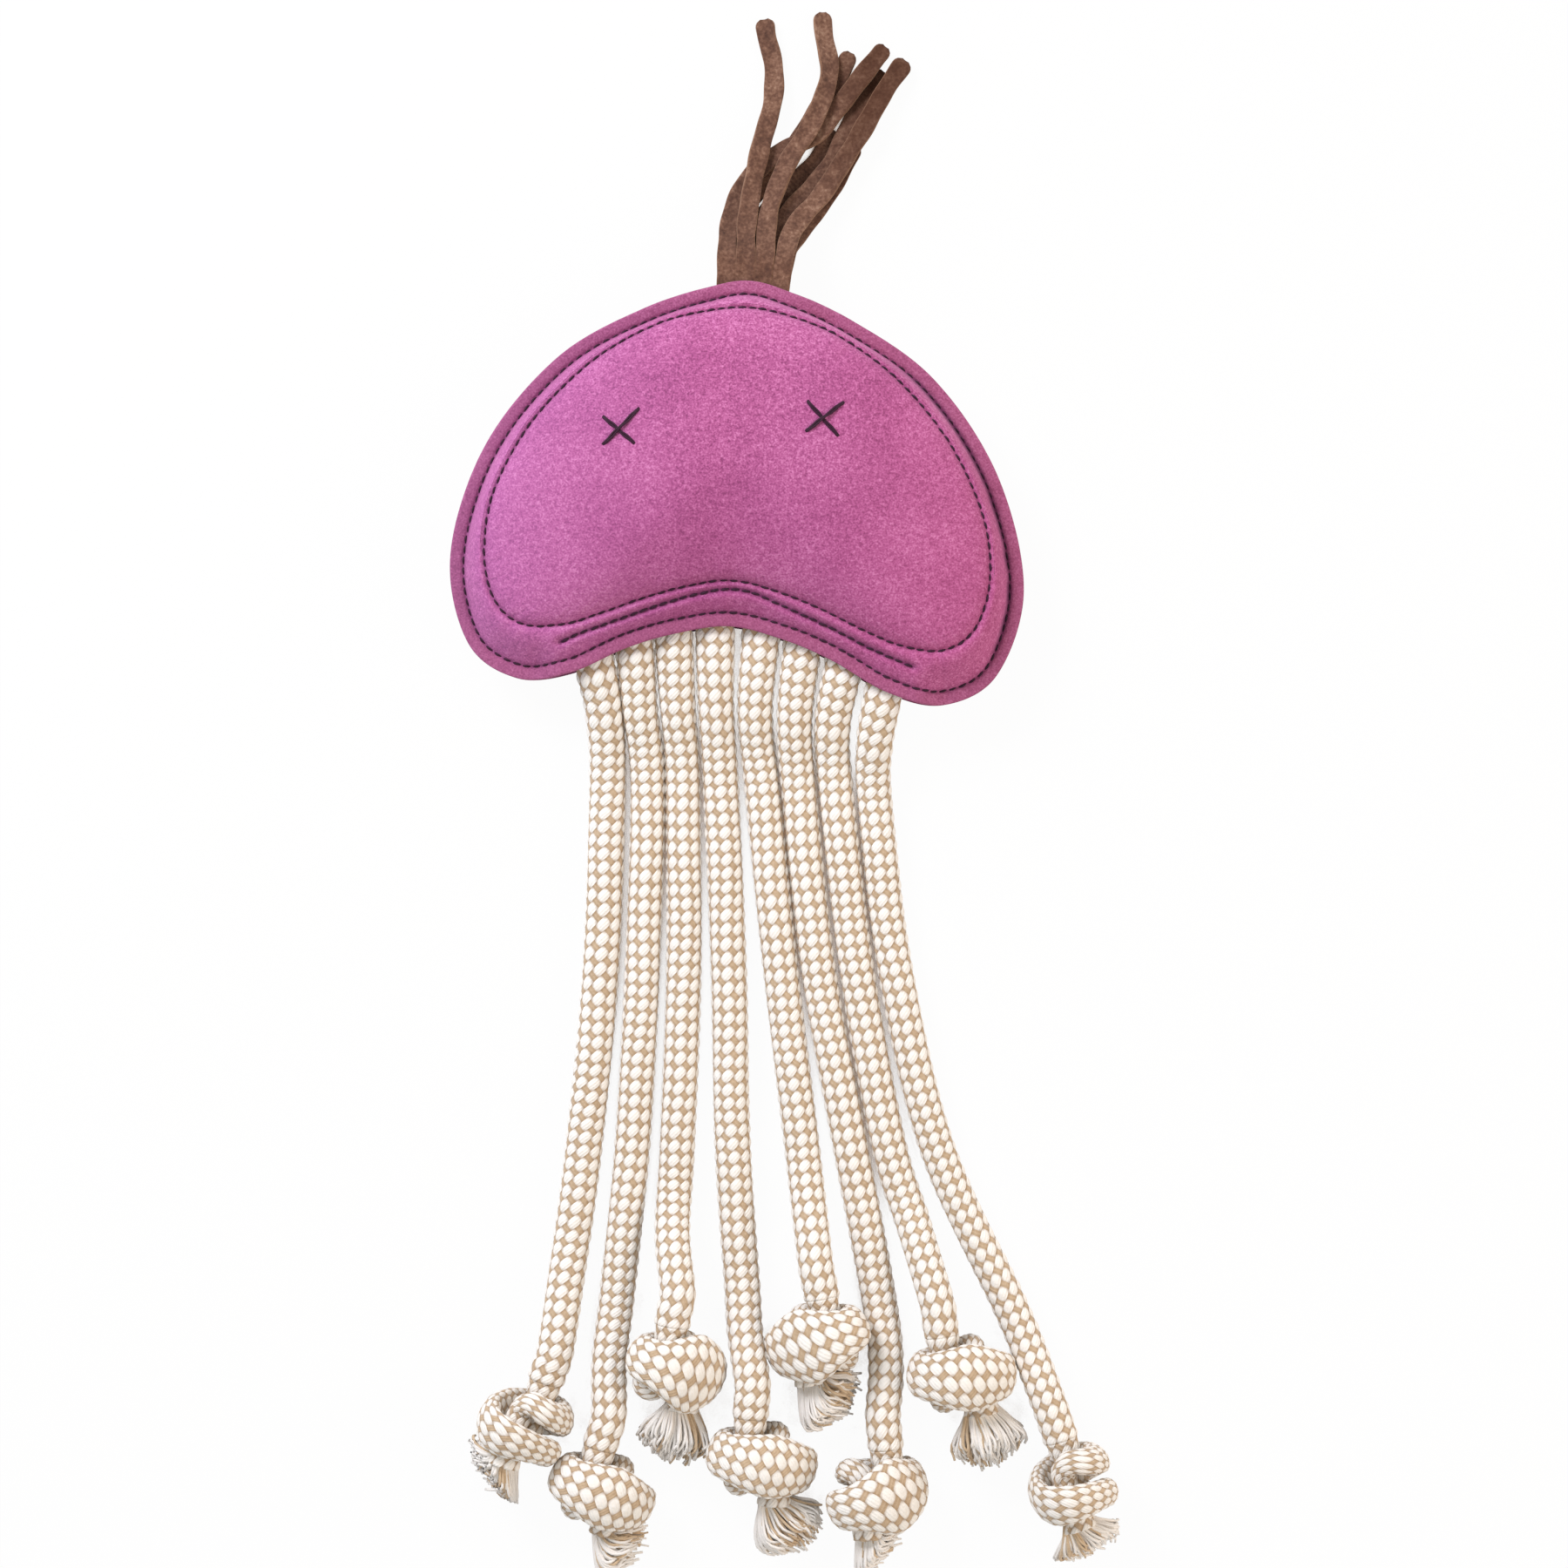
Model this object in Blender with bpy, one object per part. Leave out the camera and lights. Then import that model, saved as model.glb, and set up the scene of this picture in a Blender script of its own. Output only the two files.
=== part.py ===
"""Stuffed suede jellyfish dog toy, lying on its back.

The head is two suede panels sewn together near the edge and filled with fibre. Eight braided cotton ropes
come out between the panels along the arch at the bottom, and a fringe of brown suede comes out at the top.
Each rope ends in an overhand knot and a frayed tuft.

Frame: metres, +Z up and out of the face, +Y from the arch to the fringe, origin in the middle of the flat
spot that the head rests on.
"""
import math

import bmesh
import bpy
import numpy as np
from mathutils import Matrix, Vector
from mathutils.bvhtree import BVHTree

for old in list(bpy.data.objects):
    bpy.data.objects.remove(old, do_unlink=True)

# Head
HEAD_WIDTH = 0.164
HEAD_HEIGHT = 0.1174
HEAD_CENTRE_Y = -0.0093
SUEDE = 0.0016
JOINT_HEIGHT = 0.0150
DOME_HEIGHT = 0.0205
SHOULDER_RISE = 0.0090
SHOULDER_DROP = 0.0080
CLEARANCE = 0.0003
STATIONS = 50
# Share of the climb from the rim to the shoulder, just past the outer seam and half way to the inner one
FRONT_BAND_START = 0.16
FRONT_BAND_MIDDLE = 0.66
BACK_BAND_START = 0.10
BACK_BAND_MIDDLE = 0.60
# Rings of the dome, as shares of the way from the inner seam to the middle
FRONT_FRACTIONS = [0.07, 0.20, 0.40, 0.66]
FLAT_FROM = 0.52
BACK_FRACTIONS = [0.10, 0.27, FLAT_FROM]

# Seams
SEAM_MARGIN = 0.0040
SEAM_CREASE = 0.0005
INNER_SEAM_AT_TOP = 0.0085
INNER_SEAM_AT_SHOULDER = 0.0080
INNER_SEAM_AT_SIDE = 0.0105
INNER_SEAM_AT_LOBE = 0.0160
INNER_SEAM_AT_ARCH = 0.0131
ROPE_SEAM_MARGIN = 0.0098
ROPE_SEAM_PAST_LEFT = 0.0080
ROPE_SEAM_PAST_RIGHT = 0.0030
CREASE_HALF_WIDTH = 0.0013
THREAD = 0.0008

# Eyes
EYE_ARM = 0.0130
EYE_THREAD = 0.0012
# x, y and the two stitches' angles in degrees
LEFT_EYE = (-0.0347, 0.0036, -37, 47)
RIGHT_EYE = (0.0238, 0.0101, -46, 40)

# Ropes, knots and tufts
ROPE_DIAMETER = 0.0100
ROPE_SQUEEZE = 0.82
ROPE_INSIDE = 0.0120
ROPE_POINT_SPACING = 0.026
KNOT_LEAD = 0.010
KNOT_STRAIGHT = 0.004
KNOT_RISE = 0.040
KNOT_WIDTH = 0.0304
TUFT_LENGTH = 0.0120
TUFT_WIDTH = 0.0170

# Fringe
FRINGE_WIDTH = 0.0202
FRINGE_X = 0.0012
FRINGE_SUEDE = 0.0015
FRINGE_INSIDE = 0.0080
SLIT = 0.0003
SLIT_START = 0.0010
TAIL_RINGS = 12

# One half of the cut outline, from the top round to the arch, in half widths and half heights
HALF_OUTLINE = [
    (0.0, 1.0), (0.134, 0.961), (0.360, 0.843), (0.660, 0.579), (0.899, 0.133), (1.0, -0.409),
    (0.922, -0.836), (0.744, -0.995), (0.549, -0.956), (0.355, -0.821), (0.188, -0.738), (0.0, -0.688),
]

# Heights of a rope's middle in millimetres: at the head's edge, on its way down and lying on the floor
MM = 0.001
EXIT = JOINT_HEIGHT / MM
LYING = ROPE_DIAMETER / MM / 2 + 0.2
FALL = (EXIT + LYING) / 2 + 0.6

# Each rope's route over the floor: x, y and height of its middle, in millimetres, from just outside the
# arch to just before its knot
ROUTES = {
    1: [(-38, -63, EXIT), (-35, -75, FALL), (-33, -97, LYING), (-32, -150, LYING), (-34, -201, LYING),
        (-36.6, -236, LYING)],
    2: [(-27, -57.3, EXIT), (-24.8, -74, FALL), (-21.4, -96, LYING), (-20, -149, LYING), (-20, -201, LYING),
        (-22, -244, LYING), (-23, -262, LYING)],
    3: [(-16, -53.3, EXIT), (-13.8, -73, FALL), (-11.3, -95, LYING), (-8, -149, LYING), (-7, -200, LYING),
        (-7, -224, LYING)],
    4: [(-4.2, -50.2, EXIT), (-2.8, -73, FALL), (-0.3, -95, LYING), (5, -148, LYING), (9, -199, LYING),
        (14.1, -240, LYING), (15.6, -252, LYING)],
    5: [(9, -51, EXIT), (8.5, -73, FALL), (11.5, -94, LYING), (20, -147, LYING), (29, -198, LYING),
        (31.8, -214, LYING)],
    6: [(21, -54, EXIT), (20, -75, FALL), (22.5, -96, LYING), (31, -147, LYING), (43, -197, LYING),
        (54, -242, LYING), (56.8, -260, LYING)],
    7: [(33, -60, EXIT), (31, -76, FALL), (33, -94, LYING), (42, -146, LYING), (54, -196, LYING),
        (62.6, -219, LYING)],
    8: [(45, -66, EXIT), (43.5, -80, FALL), (44.5, -97, LYING), (53, -145, LYING), (68, -196, LYING),
        (91.3, -240, LYING), (98.2, -254, LYING)],
}

# Each knot: x and y of its middle in millimetres, turn on the floor and roll about the rope in degrees, the
# hand it is tied with, its collar's half width in rope diameters, how loose it is, 1 for tight, the way its
# tuft points on the floor in degrees from -Y, and the tuft's share of the full length
KNOTS = {
    1: (-46.3, -281.0, -14, 240, -1, 0.72, 1.03, -40, 0.6),
    2: (-22.8, -299.8, -12, 20, -1, 0.86, 1.0, 20, 1.0),
    3: (-3.3, -263.0, -6, 40, -1, 1.05, 1.0, -12, 1.0),
    4: (22.7, -288.5, 0, 20, -1, 0.84, 1.03, 35, 1.0),
    5: (36.3, -253.1, 14, -25, 1, 1.00, 1.0, 40, 1.0),
    6: (56.4, -295.7, 8, 35, 1, 1.00, 1.0, 28, 0.8),
    7: (78.7, -260.6, 12, 15, -1, 0.88, 1.0, 16, 1.0),
    8: (111.1, -289.6, 22, 248, -1, 0.72, 1.0, 32, 0.8),
}

# Half of the overhand knot's middle line in rope diameters: round the collar, over its top, then down
# through it beside the standing part
KNOT_HALF_LINE = [
    (0.00, -0.78, 0.00), (0.62, -0.65, 0.10), (1.09, -0.22, 0.20), (1.09, 0.30, 0.29), (0.60, 0.70, 0.37),
    (0.02, 0.84, 0.44), (-0.40, 0.73, 0.56), (-0.50, 0.40, 0.64), (-0.42, 0.10, 0.44), (-0.38, 0.02, 0.00),
    (-0.38, 0.02, -0.50), (-0.38, 0.02, -1.10),
]
# Half width and half thickness of the strand, by distance from the front of the collar, which is wider yet
KNOT_STRAND = [(0.0, 0.70, 0.29), (1.5, 0.58, 0.29), (2.8, 0.40, 0.29), (4.0, 0.34, 0.30), (4.8, 0.32, 0.32),
               (5.4, 0.38, 0.38), (5.9, 0.45, 0.45)]
# How far from its front the collar's extra width reaches, and how far its edges tuck in
COLLAR_REACH = 1.4
COLLAR_TUCK = 0.12
KNOT_SPAN_UNITS = 2.76
# Half axes of the round form that the strand lies flat on
KNOT_ROUNDNESS = np.array([1.1, 0.8, 0.9])
KNOT_RINGS = 22
KNOT_SIDES = 8

# Fringe tails: x, y and height of the middle in millimetres, from just outside the head to the tip, in the
# order of their roots from left to right
FRONT_TAILS = [
    [(-6.8, 57, 15.6), (-6.6, 66, 10), (-4.3, 76.5, 5.2), (1.0, 84.3, 3.6), (7.7, 89.7, 3.4),
     (16.3, 94.6, 3.4), (22.1, 101.8, 3.4), (29.0, 112.2, 3.2), (35.5, 121.5, 2.6)],
    [(-1.3, 57, 15.9), (-1.7, 66, 12), (-0.8, 78, 7.6), (1.1, 90.6, 6.1), (3.7, 103.7, 3.6),
     (3.4, 114.5, 1.6), (1.1, 122.6, 1.2), (0.1, 127.8, 1.2)],
    [(4.2, 57, 15.9), (4.1, 66, 11.7), (5.3, 74.5, 8.6), (9.2, 86.0, 6.4), (14.2, 95.1, 5.9),
     (18.1, 105.3, 5.4), (19.4, 114.1, 3.6), (17.3, 124.0, 1.6), (16.5, 130.7, 1.2)],
    [(9.7, 57, 15.6), (11.2, 64.5, 11.2), (14.2, 70.2, 8.0), (18.9, 76.3, 6.0),
     (23.6, 84.3, 5.0), (29.9, 95.9, 4.8), (36.2, 108.8, 4.2), (41.4, 117.8, 2.4)],
]
BACK_TAILS = [
    [(-6.8, 57, 12.6), (-5.5, 66, 6.6), (-1.5, 75, 2.4), (5.0, 83.5, 1.2), (11.0, 91.5, 1.1),
     (16.0, 101, 1.1), (21.0, 109.4, 1.1), (25.6, 119.5, 1.1)],
    [(-1.1, 57, 12.8), (0.8, 65, 8.2), (4.5, 72.5, 3.8), (10.5, 79.5, 1.3), (17.0, 87.0, 1.1),
     (22.2, 96.6, 1.1)],
    [(4.4, 57, 12.9), (6.9, 64.5, 8.8), (10.4, 72.0, 5.4), (16.6, 79.4, 3.4),
     (21.7, 86.7, 2.9), (26.1, 97.0, 2.9), (31.1, 107.3, 1.3), (35.5, 114.5, 1.1)],
    [(9.9, 57, 12.6), (11.6, 62.6, 7.2), (15.4, 69.0, 2.6), (20.5, 77.0, 1.2),
     (25.0, 86.0, 1.1), (28.4, 93.0, 1.1)],
]


def material(name, colour, roughness):
    """A plain, non-metallic material of one colour."""
    mat = bpy.data.materials.new(name)
    mat.use_nodes = True
    shader = mat.node_tree.nodes["Principled BSDF"]
    shader.inputs["Base Color"].default_value = (*colour, 1.0)
    shader.inputs["Roughness"].default_value = roughness
    shader.inputs["Metallic"].default_value = 0.0
    return mat


MAGENTA = material("magenta_suede", (0.50, 0.09, 0.33), 0.9)
BROWN = material("brown_suede", (0.20, 0.09, 0.06), 0.9)
COTTON = material("cotton_rope", (0.80, 0.70, 0.55), 0.9)
THREAD_PLUM = material("plum_thread", (0.05, 0.01, 0.04), 0.7)
FIBRE = material("fibre_filling", (0.85, 0.85, 0.85), 1.0)


def add_object(name, points, faces, mat, smooth=True, closed=True):
    """One mesh as a named object, with a closed mesh's faces turned outwards."""
    mesh = bpy.data.meshes.new(name)
    mesh.from_pydata([tuple(p) for p in points], [], faces)
    if closed:
        work = bmesh.new()
        work.from_mesh(mesh)
        bmesh.ops.recalc_face_normals(work, faces=work.faces)
        work.to_mesh(mesh)
        work.free()
    mesh.materials.append(mat)
    if smooth:
        mesh.shade_smooth()
    obj = bpy.data.objects.new(name, mesh)
    bpy.context.scene.collection.objects.link(obj)
    return obj


def smooth_line(points, per_span=16, closed=False):
    """Catmull-Rom curve through the points."""
    p = np.asarray(points, float)
    if closed:
        p = np.vstack([p[-1:], p, p[:2]])
    else:
        p = np.vstack([2 * p[0] - p[1], p, 2 * p[-1] - p[-2]])
    t = np.linspace(0, 1, per_span, endpoint=False)[:, None]
    spans = []
    for a, b, c, d in zip(p[:-3], p[1:-2], p[2:-1], p[3:]):
        cubic = 2 * b + (c - a) * t + (2 * a - 5 * b + 4 * c - d) * t**2 + (3 * b - a - 3 * c + d) * t**3
        spans.append(0.5 * cubic)
    if not closed:
        spans.append(p[-2][None])
    return np.vstack(spans)


def lengths_along(line):
    """Distance of each point from the line's first one."""
    steps = np.linalg.norm(np.diff(line, axis=0), axis=1)
    return np.concatenate([[0.0], np.cumsum(steps)])


def at_lengths(line, wanted):
    """Points of the line at the wanted distances along it."""
    along = lengths_along(line)
    return np.stack([np.interp(wanted, along, column) for column in line.T], axis=-1)


def ease(value):
    """Smooth step from 0 to 1."""
    t = np.clip(value, 0.0, 1.0)
    return t * t * (3 - 2 * t)


def tube(rings):
    """Faces and points of a closed tube through rings of equal point count, with flat ends."""
    count = len(rings)
    sides = len(rings[0])
    points = np.concatenate(rings)
    faces = []
    for i in range(count - 1):
        for j in range(sides):
            k = (j + 1) % sides
            faces.append((i * sides + j, i * sides + k, (i + 1) * sides + k, (i + 1) * sides + j))
    faces.append(tuple(reversed(range(sides))))
    faces.append(tuple(range((count - 1) * sides, count * sides)))
    return points, faces


# Head outline: stations evenly along the cut edge, clockwise from the top
half = np.array(HALF_OUTLINE) * (HEAD_WIDTH / 2, HEAD_HEIGHT / 2) + (0.0, HEAD_CENTRE_Y)
mirrored = (half[1:-1] * (-1, 1))[::-1]
edge_line = smooth_line(np.vstack([half, mirrored]), closed=True)
edge_line = np.vstack([edge_line, edge_line[:1]])
edge_length = lengths_along(edge_line)[-1]
station_at = np.arange(STATIONS) / STATIONS * edge_length
edge = at_lengths(edge_line, station_at)
STEP_FOR_TANGENT = edge_length / 400
ahead = at_lengths(edge_line, (station_at + STEP_FOR_TANGENT) % edge_length)
behind = at_lengths(edge_line, (station_at - STEP_FOR_TANGENT) % edge_length)
tangent = (ahead - behind) / np.linalg.norm(ahead - behind, axis=1)[:, None]
inward = np.stack([tangent[:, 1], -tangent[:, 0]], axis=-1)

# How far round each station is, 0 at the top and 1 at the arch, and the inner seam's distance there
half_turn = 1 - np.abs(station_at / edge_length * 2 - 1)
SEAM_MARKS = [0.0, 0.20, 0.50, 0.74, 1.0]
SEAM_INSETS = [INNER_SEAM_AT_TOP, INNER_SEAM_AT_SHOULDER, INNER_SEAM_AT_SIDE, INNER_SEAM_AT_LOBE,
               INNER_SEAM_AT_ARCH]
mark = np.interp(half_turn, SEAM_MARKS, np.arange(len(SEAM_MARKS)))
lower = np.minimum(mark.astype(int), len(SEAM_MARKS) - 2)
insets = np.array(SEAM_INSETS)
inner_inset = insets[lower] + (insets[lower + 1] - insets[lower]) * ease(mark - lower)

# The panels part by half a gap each for the ropes and the fringe
rope_radius = ROPE_DIAMETER / 2
row_left = ROUTES[1][0][0] * MM - rope_radius
row_right = ROUTES[len(ROUTES)][0][0] * MM + rope_radius
PARTING_EASE = 0.010
PARTING_PAST = 0.004
from_row = np.abs(edge[:, 0] - (row_left + row_right) / 2) - (row_right - row_left) / 2 - PARTING_PAST
rope_share = ease(1 - from_row / PARTING_EASE) * (half_turn > 0.5)
from_fringe = np.abs(edge[:, 0] - FRINGE_X) - FRINGE_WIDTH / 2 - PARTING_PAST
fringe_share = ease(1 - from_fringe / PARTING_EASE) * (half_turn < 0.5)
rope_parting = rope_radius * ROPE_SQUEEZE + CLEARANCE
fringe_parting = FRINGE_SUEDE + 1.5 * CLEARANCE
parting = CLEARANCE / 2 + rope_share * (rope_parting - CLEARANCE / 2)
parting = parting + fringe_share * (fringe_parting - CLEARANCE / 2)


def ring_at(inset):
    """Points of the head's plan at a distance in from the cut edge."""
    return edge + inward * np.broadcast_to(inset, STATIONS)[:, None]


def dome_share(fraction):
    """Height share of the stuffed dome from the inner seam, 0, to the middle, 1."""
    return (1 - (1 - fraction) ** 2) ** 0.75


# Front panel, as rings from the cut edge inwards: flat rim, seam crease, steep band, shoulder seam, dome
front_rim = JOINT_HEIGHT + parting + SUEDE
front_shoulder = JOINT_HEIGHT + SUEDE + SHOULDER_RISE
mid_inset = (SEAM_MARGIN + inner_inset) / 2


def front_ring(inset, share, extra=0.0):
    """Ring of the front panel at a distance in from the edge, at a share of the climb to the shoulder."""
    return np.column_stack([ring_at(inset), front_rim + (front_shoulder - front_rim) * share + extra])


front_outer = front_ring(SEAM_MARGIN, 0.0)
front_band = front_ring(mid_inset, FRONT_BAND_MIDDLE)
front_inner = front_ring(inner_inset, 1.0)
front_rings = [
    front_ring(0.0, 0.0, SEAM_CREASE), front_ring(SEAM_MARGIN - CREASE_HALF_WIDTH, 0.0, SEAM_CREASE),
    front_outer, front_ring(SEAM_MARGIN + CREASE_HALF_WIDTH, FRONT_BAND_START), front_band, front_inner,
]
for fraction in FRONT_FRACTIONS:
    ring = front_inner * (1 - fraction)
    ring[:, 2] = front_shoulder + (JOINT_HEIGHT + DOME_HEIGHT - front_shoulder) * dome_share(fraction)
    front_rings.append(ring)
front_middle = np.array([0.0, 0.0, JOINT_HEIGHT + DOME_HEIGHT])

# Back panel: the same plan, less deep, with the flat spot that it lies on
back_rim = JOINT_HEIGHT - parting - SUEDE
back_shoulder = JOINT_HEIGHT - SUEDE - SHOULDER_DROP


def back_ring(inset, share, extra=0.0):
    """Ring of the back panel at a distance in from the edge, at a share of the way down to the shoulder."""
    return np.column_stack([ring_at(inset), back_rim + (back_shoulder - back_rim) * share - extra])


back_outer = back_ring(SEAM_MARGIN, 0.0)
back_band = back_ring(mid_inset, BACK_BAND_MIDDLE)
back_inner = back_ring(inner_inset, 1.0)
back_rings = [
    back_ring(0.0, 0.0, SEAM_CREASE), back_outer, back_ring(SEAM_MARGIN + CREASE_HALF_WIDTH, BACK_BAND_START),
    back_band, back_inner,
]
for fraction in BACK_FRACTIONS:
    ring = back_inner * (1 - fraction)
    ring[:, 2] = back_shoulder * (1 - dome_share(fraction / FLAT_FROM))
    back_rings.append(ring)
back_middle = np.zeros(3)


def sheet_faces(ring_count, first, facing_up):
    """Quads between rings of stations and a fan to the middle point, which follows the last ring."""
    faces = []
    for i in range(ring_count - 1):
        for j in range(STATIONS):
            k = (j + 1) % STATIONS
            a = first + i * STATIONS
            faces.append((a + j, a + k, a + STATIONS + k, a + STATIONS + j))
    last = first + (ring_count - 1) * STATIONS
    middle = first + ring_count * STATIONS
    for j in range(STATIONS):
        faces.append((last + j, last + (j + 1) % STATIONS, middle))
    if facing_up:
        faces = [tuple(reversed(face)) for face in faces]
    return faces


def add_panel(name, rings, middle, facing_up):
    """A panel's outer face, thickened inwards to the suede's thickness."""
    points = np.vstack(rings + [middle[None]])
    panel = add_object(name, points, sheet_faces(len(rings), 0, facing_up), MAGENTA, closed=False)
    thicken = panel.modifiers.new("suede", "SOLIDIFY")
    thicken.thickness = SUEDE
    thicken.offset = -1
    return panel


add_panel("front_panel", front_rings, front_middle, True)
add_panel("back_panel", back_rings, back_middle, False)


def sunk(rings, middle, depth, sign):
    """Rings moved in from a panel's outer face by a depth, square to the face."""
    grid = np.array(rings)
    around = np.roll(grid, -1, axis=1) - np.roll(grid, 1, axis=1)
    across = np.gradient(grid, axis=0)
    normal = np.cross(across, around) * sign
    normal = normal / np.linalg.norm(normal, axis=2)[:, :, None]
    moved = grid - normal * depth
    return list(moved), middle - np.array([0.0, 0.0, sign * depth])


# Stuffing: fills the dome inside the inner seam, against both panels
SKIN = SUEDE + CLEARANCE
top_rings, top_middle = sunk(front_rings, front_middle, SKIN, 1)
low_rings, low_middle = sunk(back_rings, back_middle, SKIN, -1)
top_rings = top_rings[-len(FRONT_FRACTIONS):]
low_rings = low_rings[-len(BACK_FRACTIONS):]
stuffing_points = np.vstack(top_rings + [top_middle[None]] + low_rings + [low_middle[None]])
low_first = len(top_rings) * STATIONS + 1
stuffing_faces = sheet_faces(len(top_rings), 0, True) + sheet_faces(len(low_rings), low_first, False)
for station in range(STATIONS):
    following = (station + 1) % STATIONS
    stuffing_faces.append((station, following, low_first + following, low_first + station))
add_object("stuffing", stuffing_points, stuffing_faces, FIBRE)


def add_thread(name, middles, closed):
    """A seam row's thread as a square-sided cord laid along its groove."""
    r = THREAD / 2
    if closed:
        along = np.roll(middles, -1, axis=0) - np.roll(middles, 1, axis=0)
    else:
        along = np.gradient(middles, axis=0)
    side = np.column_stack([-along[:, 1], along[:, 0], np.zeros(len(along))])
    side = side / np.linalg.norm(side, axis=1)[:, None] * r
    up = np.array([0.0, 0.0, r])
    rings = [np.array([m + s, m + up, m - s, m - up]) for m, s in zip(middles, side)]
    points, faces = tube(rings)
    if closed:
        faces = faces[:-2]
        last = (len(rings) - 1) * 4
        for j in range(4):
            k = (j + 1) % 4
            faces.append((last + j, last + k, k, j))
    return add_object(name, points, faces, THREAD_PLUM)


# Threads: each row lies on its panel's face, and the back has the same rows
THREAD_LIFT = THREAD / 2 + CLEARANCE
lift_up = np.array([0.0, 0.0, THREAD_LIFT])
add_thread("outer_seam_thread", front_outer + lift_up, True)
add_thread("outer_seam_bobbin", back_outer - lift_up, True)
add_thread("inner_seam_thread", front_inner + lift_up, True)
add_thread("inner_seam_bobbin", back_inner - lift_up, True)

# The row above the ropes is open: it runs along the arch between the outermost ropes
from_mid = (ROPE_SEAM_MARGIN - mid_inset) / (inner_inset - mid_inset)
past_left = edge[:, 0] > row_left - ROPE_SEAM_PAST_LEFT
past_right = edge[:, 0] < row_right + ROPE_SEAM_PAST_RIGHT
on_arch = (half_turn > 0.5) & past_left & past_right


def rope_row(outer_ring, inner_ring):
    """Points of a panel at the rope seam's distance from the edge, along the arch."""
    row = outer_ring + (inner_ring - outer_ring) * from_mid[:, None]
    return row[on_arch]


front_row = rope_row(front_band, front_inner)
back_row = rope_row(back_band, back_inner)
add_thread("rope_seam_thread", front_row + lift_up, False)
add_thread("rope_seam_bobbin", back_row - lift_up, False)

# Surface of the front panel, to lay the eyes on
front_surface = BVHTree.FromPolygons(
    [Vector(p) for p in np.vstack(front_rings + [front_middle[None]])],
    sheet_faces(len(front_rings), 0, True),
)


def add_eye(name, x, y, first_angle, second_angle):
    """Two crossed stitches as one flat cross, laid on the front panel."""
    arms = []
    for angle in (first_angle, second_angle, first_angle + 180, second_angle + 180):
        arms.append(np.array([math.cos(math.radians(angle)), math.sin(math.radians(angle))]))
    half_thread = EYE_THREAD / 2
    plan = []
    for arm, following in zip(arms, arms[1:] + arms[:1]):
        across = np.array([-arm[1], arm[0]])
        opening = abs(arm[0] * following[1] - arm[1] * following[0])
        plan.append(arm * EYE_ARM / 2 - across * half_thread)
        plan.append(arm * EYE_ARM / 2 + across * half_thread)
        plan.append((arm + following) * half_thread / opening)
    low = []
    for px, py in plan:
        hit = front_surface.ray_cast(Vector((x + px, y + py, 1.0)), Vector((0, 0, -1)))[0]
        low.append((hit.x, hit.y, hit.z + CLEARANCE))
    centre_hit = front_surface.ray_cast(Vector((x, y, 1.0)), Vector((0, 0, -1)))[0]
    low.append((centre_hit.x, centre_hit.y, centre_hit.z + CLEARANCE))
    count = len(plan)
    points = low + [(px, py, pz + EYE_THREAD) for px, py, pz in low]
    faces = []
    for i in range(count):
        k = (i + 1) % count
        faces.append((i, k, count + 1 + k, count + 1 + i))
        faces.append((k, i, count))
        faces.append((count + 1 + i, count + 1 + k, 2 * count + 1))
    return add_object(name, points, faces, THREAD_PLUM, smooth=False)


add_eye("left_eye", *LEFT_EYE)
add_eye("right_eye", *RIGHT_EYE)

# Knots: a strand of changing section swept along the overhand line
knot_half = np.array(KNOT_HALF_LINE)
knot_line = smooth_line(np.vstack([(knot_half[1:] * (-1, 1, -1))[::-1], knot_half]))
knot_unit = KNOT_WIDTH / KNOT_SPAN_UNITS
knot_ends = lengths_along(knot_line)[-1]
ring_places = np.linspace(0, knot_ends, KNOT_RINGS)
knot_middles = at_lengths(knot_line, ring_places)
knot_tangents = np.gradient(knot_middles, axis=0)
knot_tangents = knot_tangents / np.linalg.norm(knot_tangents, axis=1)[:, None]
from_front = np.abs(ring_places - knot_ends / 2)
strand = np.array(KNOT_STRAND)
strand_width = np.interp(from_front, strand[:, 0], strand[:, 1])
strand_depth = np.interp(from_front, strand[:, 0], strand[:, 2])
out_of_knot = knot_middles / KNOT_ROUNDNESS ** 2
out_of_knot = out_of_knot - knot_tangents * np.sum(out_of_knot * knot_tangents, axis=1)[:, None]
out_of_knot = out_of_knot / np.linalg.norm(out_of_knot, axis=1)[:, None]
beside = np.cross(knot_tangents, out_of_knot)
turns = (np.arange(KNOT_SIDES) + 0.5) / KNOT_SIDES * 2 * math.pi
collar_share = ease(1 - from_front / COLLAR_REACH)[:, None, None]


def knot_points(collar, loose):
    """The knot's rings for its collar's half width: flat ovals whose edges tuck in towards the middle."""
    width = strand_width[:, None, None] + collar_share * (collar - strand_width.max())
    thin = np.cos(turns)[None, :, None] * strand_depth[:, None, None] * out_of_knot[:, None]
    wide = np.sin(turns)[None, :, None] * width * beside[:, None]
    tucked = np.sin(turns)[None, :, None] ** 2 * collar_share * COLLAR_TUCK * out_of_knot[:, None]
    return tube(list((knot_middles[:, None] * loose + thin + wide - tucked) * knot_unit))


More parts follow.
